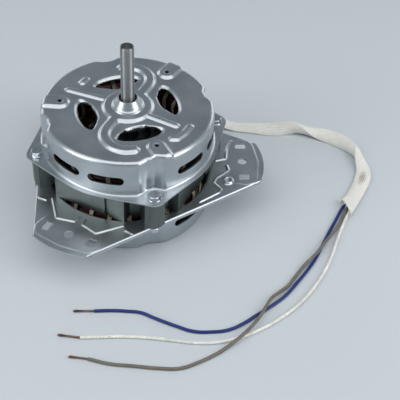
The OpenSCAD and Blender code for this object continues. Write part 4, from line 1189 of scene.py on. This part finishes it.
    def plate_cutters(self, sizes):
        """Arm holes, square-cornered holes, bolt holes and the collar's hole."""
        low, high = mm(-6), mm(6)
        cutters = drill_cutters(self.HOLE_R, at_angles(self.HOLE_CIRCLE_R, ARM_ANGLES), low, high)
        cutters += bolt_drills(sizes, low, high)
        cutters += drill_cutters(TAPPED_R, [COLLAR_PLACE], low, high)
        corners = np.array([[-1, -1], [1, -1], [1, 1], [-1, 1]]) * self.SQUARE_HALF
        for off in (-self.SQUARE_OFF, self.SQUARE_OFF):
            square = prism(corners + (self.HOLE_CIRCLE_R, off), low, high)
            cutters += copy_at(square, [Matrix.Rotation(a, 4, "Z") for a in ARM_ANGLES])
        return cutters

    def vent_cutters(self):
        """Round-ended vents in the floor."""
        ends = [arc((self.VENT_CIRCLE_R, side * self.VENT_HALF_L), self.VENT_R, start, start + math.pi, 10)
                for side, start in ((1, 0), (-1, math.pi))]
        vent = prism(np.vstack(ends), TABLE_Z - mm(2), TABLE_Z + mm(3))
        step = 2 * math.pi / self.VENTS
        angles = [SIDE_ANGLES[0] + (i + 0.5) * step for i in range(self.VENTS)]
        return copy_at(vent, [Matrix.Rotation(a, 4, "Z") for a in angles])

    def collar(self):
        """Drawn collar round the tapped hole of the right arm."""
        collar = spun("collar", self.COLLAR, 40)
        return copy_at(collar, [Matrix.Translation((*COLLAR_PLACE, 0))])[0]


# Windings

def piled_route(inner, outer, height, turns, layers, jitter):
    """Centre line of a winding: out and in again, up a layer at each reversal, with a little disorder."""
    chance = np.random.default_rng(3)
    turn = np.linspace(0, turns * layers, turns * layers * 60 + 1)
    swing = turn % (2 * turns)
    place = np.where(swing < turns, swing, 2 * turns - swing) / turns
    climb = sum(np.clip((turn - k * turns) * 2 + 0.5, 0, 1) for k in range(1, layers)) / (layers - 1)
    knots = np.arange(0, turns * layers + 1, 0.25)
    wander = [np.interp(turn, knots, chance.normal(0, jitter, len(knots))) for _ in range(2)]
    # The bundle is rounder than a box: its upper and lower layers are drawn in
    belly = 1 - 0.28 * np.abs(2 * climb - 1) ** 3
    radius = (inner + outer) / 2 + (place - 0.5) * (outer - inner) * belly + wander[0]
    radius = np.clip(radius, inner, outer)
    level = np.clip(height * climb + wander[1], 0, height)
    angle = 2 * math.pi * turn
    return np.column_stack([radius * np.cos(angle), radius * np.sin(angle), level])


def lacing_loop(inner, outer, low, high, slack):
    """One loop of lacing round a bundle's section, in its radial plane."""
    corner = (high - low) * 0.32
    centre_in, centre_out = inner + corner - slack, outer - corner + slack
    quarter = math.pi / 2
    corners = [(centre_out, high - corner), (centre_in, high - corner),
               (centre_in, low + corner), (centre_out, low + corner)]
    loop = np.vstack([arc(centre, corner, k * quarter, (k + 1) * quarter, 6)
                      for k, centre in enumerate(corners)])
    return np.column_stack([loop[:, 0], np.zeros(len(loop)), loop[:, 1]])


class MOTOR_OT_windings(bpy.types.Operator):
    """Both end windings as piled turns of enamelled wire, laced with cord"""
    bl_idname = "motor.windings"
    bl_label = "Windings"

    # Radius inside a winding, turns to a layer, layers, and how far a turn strays
    INNER_R, TURNS, LAYERS, STRAY = mm(40), 9, 10, mm(0.16)
    # Ties round a winding, turns of cord to a tie, and their spacing as a share of the cord
    TIES, TIE_TURNS, TIE_SPACING = 24, 3, 0.95

    def execute(self, context):
        sizes, colours = context.scene.motor_sizes, context.scene.motor_colours
        wire = wire_enamel(colours.enamel)
        # The upper lacing is the lacing colour darkened to 0.4, painted shade for the dim inside of the upper
        # cover, and the lower one keeps the pale colour
        lacings = {"upper": twisted_cord("varnish_soaked_lacing", shade(colours.lacing, 0.4), mm(0.5)),
                   "lower": twisted_cord("twisted_cotton_lacing", colours.lacing, mm(0.5))}
        for end in ("upper", "lower"):
            low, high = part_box(end + "_winding")
            reach, half = high.x, sizes.wire_d / 2
            height = high.z - low.z - sizes.wire_d
            places = piled_route(self.INNER_R + half, reach - half, height,
                                 self.TURNS, self.LAYERS, self.STRAY)
            places[:, 2] += low.z + half
            coil = tube(end + "_end_winding", places, sizes.wire_d)
            dressed(coil, "housing", wire, [end + "_winding"], angle=60)
            ties = self.ties(end, reach, low.z, high.z, sizes.lacing_d)
            dressed(ties, "housing", lacings[end], [end + "_ties"], angle=60)
        return {"FINISHED"}

    def ties(self, end, reach, low, high, cord):
        """Ties at even places round a winding, each of a few turns of cord side by side."""
        name = end + "_lacing"
        slack = cord * 0.75 + mm(0.1)
        places = lacing_loop(self.INNER_R, reach, low - slack, high + slack, slack)
        loop = tube(name, places, cord, closed=True)
        steps = [(i - (self.TIE_TURNS - 1) / 2) * cord * self.TIE_SPACING for i in range(self.TIE_TURNS)]
        tie = joined(name, copy_at(loop, [Matrix.Translation((0, step, 0)) for step in steps]))
        angles = [SIDE_ANGLES[0] + i * 2 * math.pi / self.TIES for i in range(self.TIES)]
        return joined(name, copy_at(tie, [Matrix.Rotation(a, 4, "Z") for a in angles]))


# Fasteners and shaft

def chamfered_hex(name, width, low, high, both):
    """A hexagon solid with turned chamfers on its upper edge, or on both."""
    corner_r = width / math.sqrt(3)
    solid = prism(polygon(corner_r, 6), low, high)
    solid.name = name
    face_r, turned_r, fall = width / 2 * 0.94, corner_r + mm(0.05), width * 0.085
    foot = [(face_r, low), (turned_r, low + fall)] if both else [(turned_r, low)]
    cone = [(0, low), *foot, (turned_r, high - fall), (face_r, high), (0, high)]
    mould = spun("turned_blank", np.array(cone), 48)
    apply_modifier(solid, "BOOLEAN", operation="INTERSECT", solver="EXACT", object=mould)
    bpy.data.objects.remove(mould)
    return solid


class MOTOR_OT_fasteners(bpy.types.Operator):
    """Four clamp bolts with their washers and nuts"""
    bl_idname = "motor.fasteners"
    bl_label = "Fasteners"

    # Turn of each bolt against the one before it, in radians
    TURN = 0.35
    # Thread: its start above the bolt's end, half its pitch, its depth, and its crests and roots
    THREAD_START, HALF_PITCH, THREAD_D, EDGES = mm(0.5), mm(0.4), mm(0.28), 24

    def execute(self, context):
        sizes, colours = context.scene.motor_sizes, context.scene.motor_colours
        zinc = worked_metal("bright_zinc_plated_steel", colours.fasteners, 0.22, mm(2.5))
        places = [Matrix.Translation((x, y, 0)) @ Matrix.Rotation(self.TURN * i, 4, "Z")
                  for i, (x, y) in enumerate(at_angles(sizes.bolt_circle_r, BOLT_ANGLES))]
        low, high = (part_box("clamp_bolts")[k].z for k in (0, 1))
        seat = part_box("bolt_washers")[1].z
        head = chamfered_hex("bolt_head", sizes.head_w, seat, high, both=False)
        shank_r = sizes.bolt_d / 2
        bolt = joined("bolt", [head, spun("shank", self.shank(shank_r, low, seat + mm(0.2)), 32)])
        washer = spun("washer", self.washer(shank_r + BOLT_PLAY, sizes.washer_d / 2, FLANGE_Z, seat), 48)
        nut_low, nut_high = (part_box("bolt_nuts")[k].z for k in (0, 1))
        nut = chamfered_hex("nut", sizes.head_w, nut_low, nut_high, both=True)
        cut(nut, drill_cutters(shank_r + BOLT_PLAY, [(0, 0)], nut_low - mm(2), nut_high + mm(2)))
        for piece, node in ((bolt, "clamp_bolts"), (washer, "bolt_washers"), (nut, "bolt_nuts")):
            group = joined(node[:-1] + "_set", copy_at(piece, places))
            dressed(group, "housing", zinc, [node], angle=25)
        return {"FINISHED"}

    def shank(self, radius, low, high):
        """Outline of a bolt's shank, with its thread as ridges at the lower end."""
        ridges = [(radius - (self.THREAD_D if i % 2 else 0), low + self.THREAD_START + self.HALF_PITCH * i)
                  for i in range(self.EDGES)]
        return np.array([(0, low), (radius * 0.75, low), *ridges, (radius, high), (0, high)])

    def washer(self, inner, outer, low, high):
        """Outline of a washer with rounded edges."""
        soft = (high - low) * 0.3
        return np.array([(inner, low), (outer - soft, low), (outer, low + soft), (outer, high - soft),
                         (outer - soft, high), (inner, high)])


class MOTOR_OT_shaft(bpy.types.Operator):
    """Ground shaft with its chamfered end"""
    bl_idname = "motor.shaft"
    bl_label = "Shaft"

    # Radius, chamfer, and radius and levels of the rotor's seat
    END_R, CHAMFER, SEAT_R, SEAT = mm(5), mm(1), mm(6.25), mm([-3, 28])
    # Groove at the boss: depth, and half its width at its floor and its mouth
    GROOVE_D, GROOVE_HALF_W = mm(0.3), mm([0.6, 0.7])

    def execute(self, context):
        sizes, colours = context.scene.motor_sizes, context.scene.motor_colours
        low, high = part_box("shaft")
        boss = CORE_TOP_Z + sizes.upper_depth + sizes.emboss_h + sizes.boss_h
        r, chamfer, groove_r = self.END_R, self.CHAMFER, self.END_R - self.GROOVE_D
        (seat_low, seat_high), (inner, outer) = self.SEAT, self.GROOVE_HALF_W
        profile = np.array([
            (0, low.z), (r - chamfer, low.z), (r, low.z + chamfer),
            (r, seat_low), (self.SEAT_R, seat_low), (self.SEAT_R, seat_high), (r, seat_high),
            (r, boss - outer), (groove_r, boss - inner), (groove_r, boss + inner), (r, boss + outer),
            (r, high.z - chamfer * 1.1), (r - chamfer * 0.2, high.z - chamfer * 0.6),
            (r - chamfer, high.z), (0, high.z),
        ])
        shaft = spun("ground_shaft", profile, 72)
        steel = ground_steel(colours.shaft, high.z - chamfer * 0.4)
        dressed(shaft, "rotor", steel, ["shaft"], angle=30)
        return {"FINISHED"}


class MOTOR_OT_frame_pieces(bpy.types.Operator):
    """Finishes of the frame's own pieces: the core, the rotor and what is inside the bosses"""
    bl_idname = "motor.frame_pieces"
    bl_label = "Core and Inner Pieces"

    def execute(self, context):
        colours = context.scene.motor_colours
        laminations = lamination_edges(colours.laminations)
        bronze = worked_metal("oiled_sintered_bronze", linear("#5f4a2c"), 0.5, mm(0.6))
        felt = matt_sheet("oiled_wool_felt", linear("#c9bf9f"), mm(0.8))
        spring = worked_metal("rolled_spring_steel", linear("#9aa0a4"), 0.35, mm(3), (0.2, 1, 1))
        cast = worked_metal("die_cast_aluminium", linear("#74787b"), 0.45, mm(4))
        laminate = matt_sheet("phenolic_paper_laminate", linear("#6d4526"), mm(1.2))
        paper = matt_sheet("slot_liner_paper", linear("#d6caa3"), mm(1.5))
        sleeving = twisted_cord("woven_splice_sleeving", linear("#e4dcc6"), mm(0.6))
        wire = bpy.data.materials["enamelled_copper_wire"]
        finishes = {
            "stator_core": laminations, "rotor_core": laminations, "rotor_cage": cast, "slot_windings": wire,
            "slot_wedges": paper, "lead_splices": sleeving,
        }
        for end in ("upper_", "lower_"):
            finishes |= {end + "bearing": bronze, end + "felt": felt, end + "retainer": spring,
                         end + "spacer": spring, end + "thrust_washers": laminate}
        for node, material in finishes.items():
            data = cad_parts[node].data
            data.materials.clear()
            data.materials.append(material)
        return {"FINISHED"}


OPERATORS = (MOTOR_OT_stage, MOTOR_OT_leads, MOTOR_OT_sleeve, MOTOR_OT_upper_cover, MOTOR_OT_lower_cover,
             MOTOR_OT_windings, MOTOR_OT_fasteners, MOTOR_OT_shaft, MOTOR_OT_frame_pieces)


class MOTOR_PT_pieces(bpy.types.Panel):
    """Buttons for the motor's pieces and its stage"""
    bl_idname = "MOTOR_PT_pieces"
    bl_label = "Washing Machine Motor"
    bl_space_type = "VIEW_3D"
    bl_region_type = "UI"
    bl_category = "Motor"

    def draw(self, context):
        for operator in OPERATORS:
            self.layout.operator(operator.bl_idname)
        for group in (context.scene.motor_sizes, context.scene.motor_colours):
            box = self.layout.box()
            for name in group.bl_rna.properties.keys():
                if name not in ("rna_type", "name"):
                    box.prop(group, name)


CLASSES = (MotorSizes, MotorColours, *OPERATORS, MOTOR_PT_pieces)


def register():
    """Registers the classes and gives each scene its sizes and colours."""
    for cls in CLASSES:
        bpy.utils.register_class(cls)
    bpy.types.Scene.motor_sizes = bpy.props.PointerProperty(type=MotorSizes)
    bpy.types.Scene.motor_colours = bpy.props.PointerProperty(type=MotorColours)


def unregister():
    """Takes back what register gave."""
    del bpy.types.Scene.motor_colours
    del bpy.types.Scene.motor_sizes
    for cls in reversed(CLASSES):
        bpy.utils.unregister_class(cls)


def main():
    """Makes every piece, in order."""
    register()
    for operator in OPERATORS:
        group, name = operator.bl_idname.split(".")
        getattr(getattr(bpy.ops, group), name)()


if __name__ == "__main__":
    main()
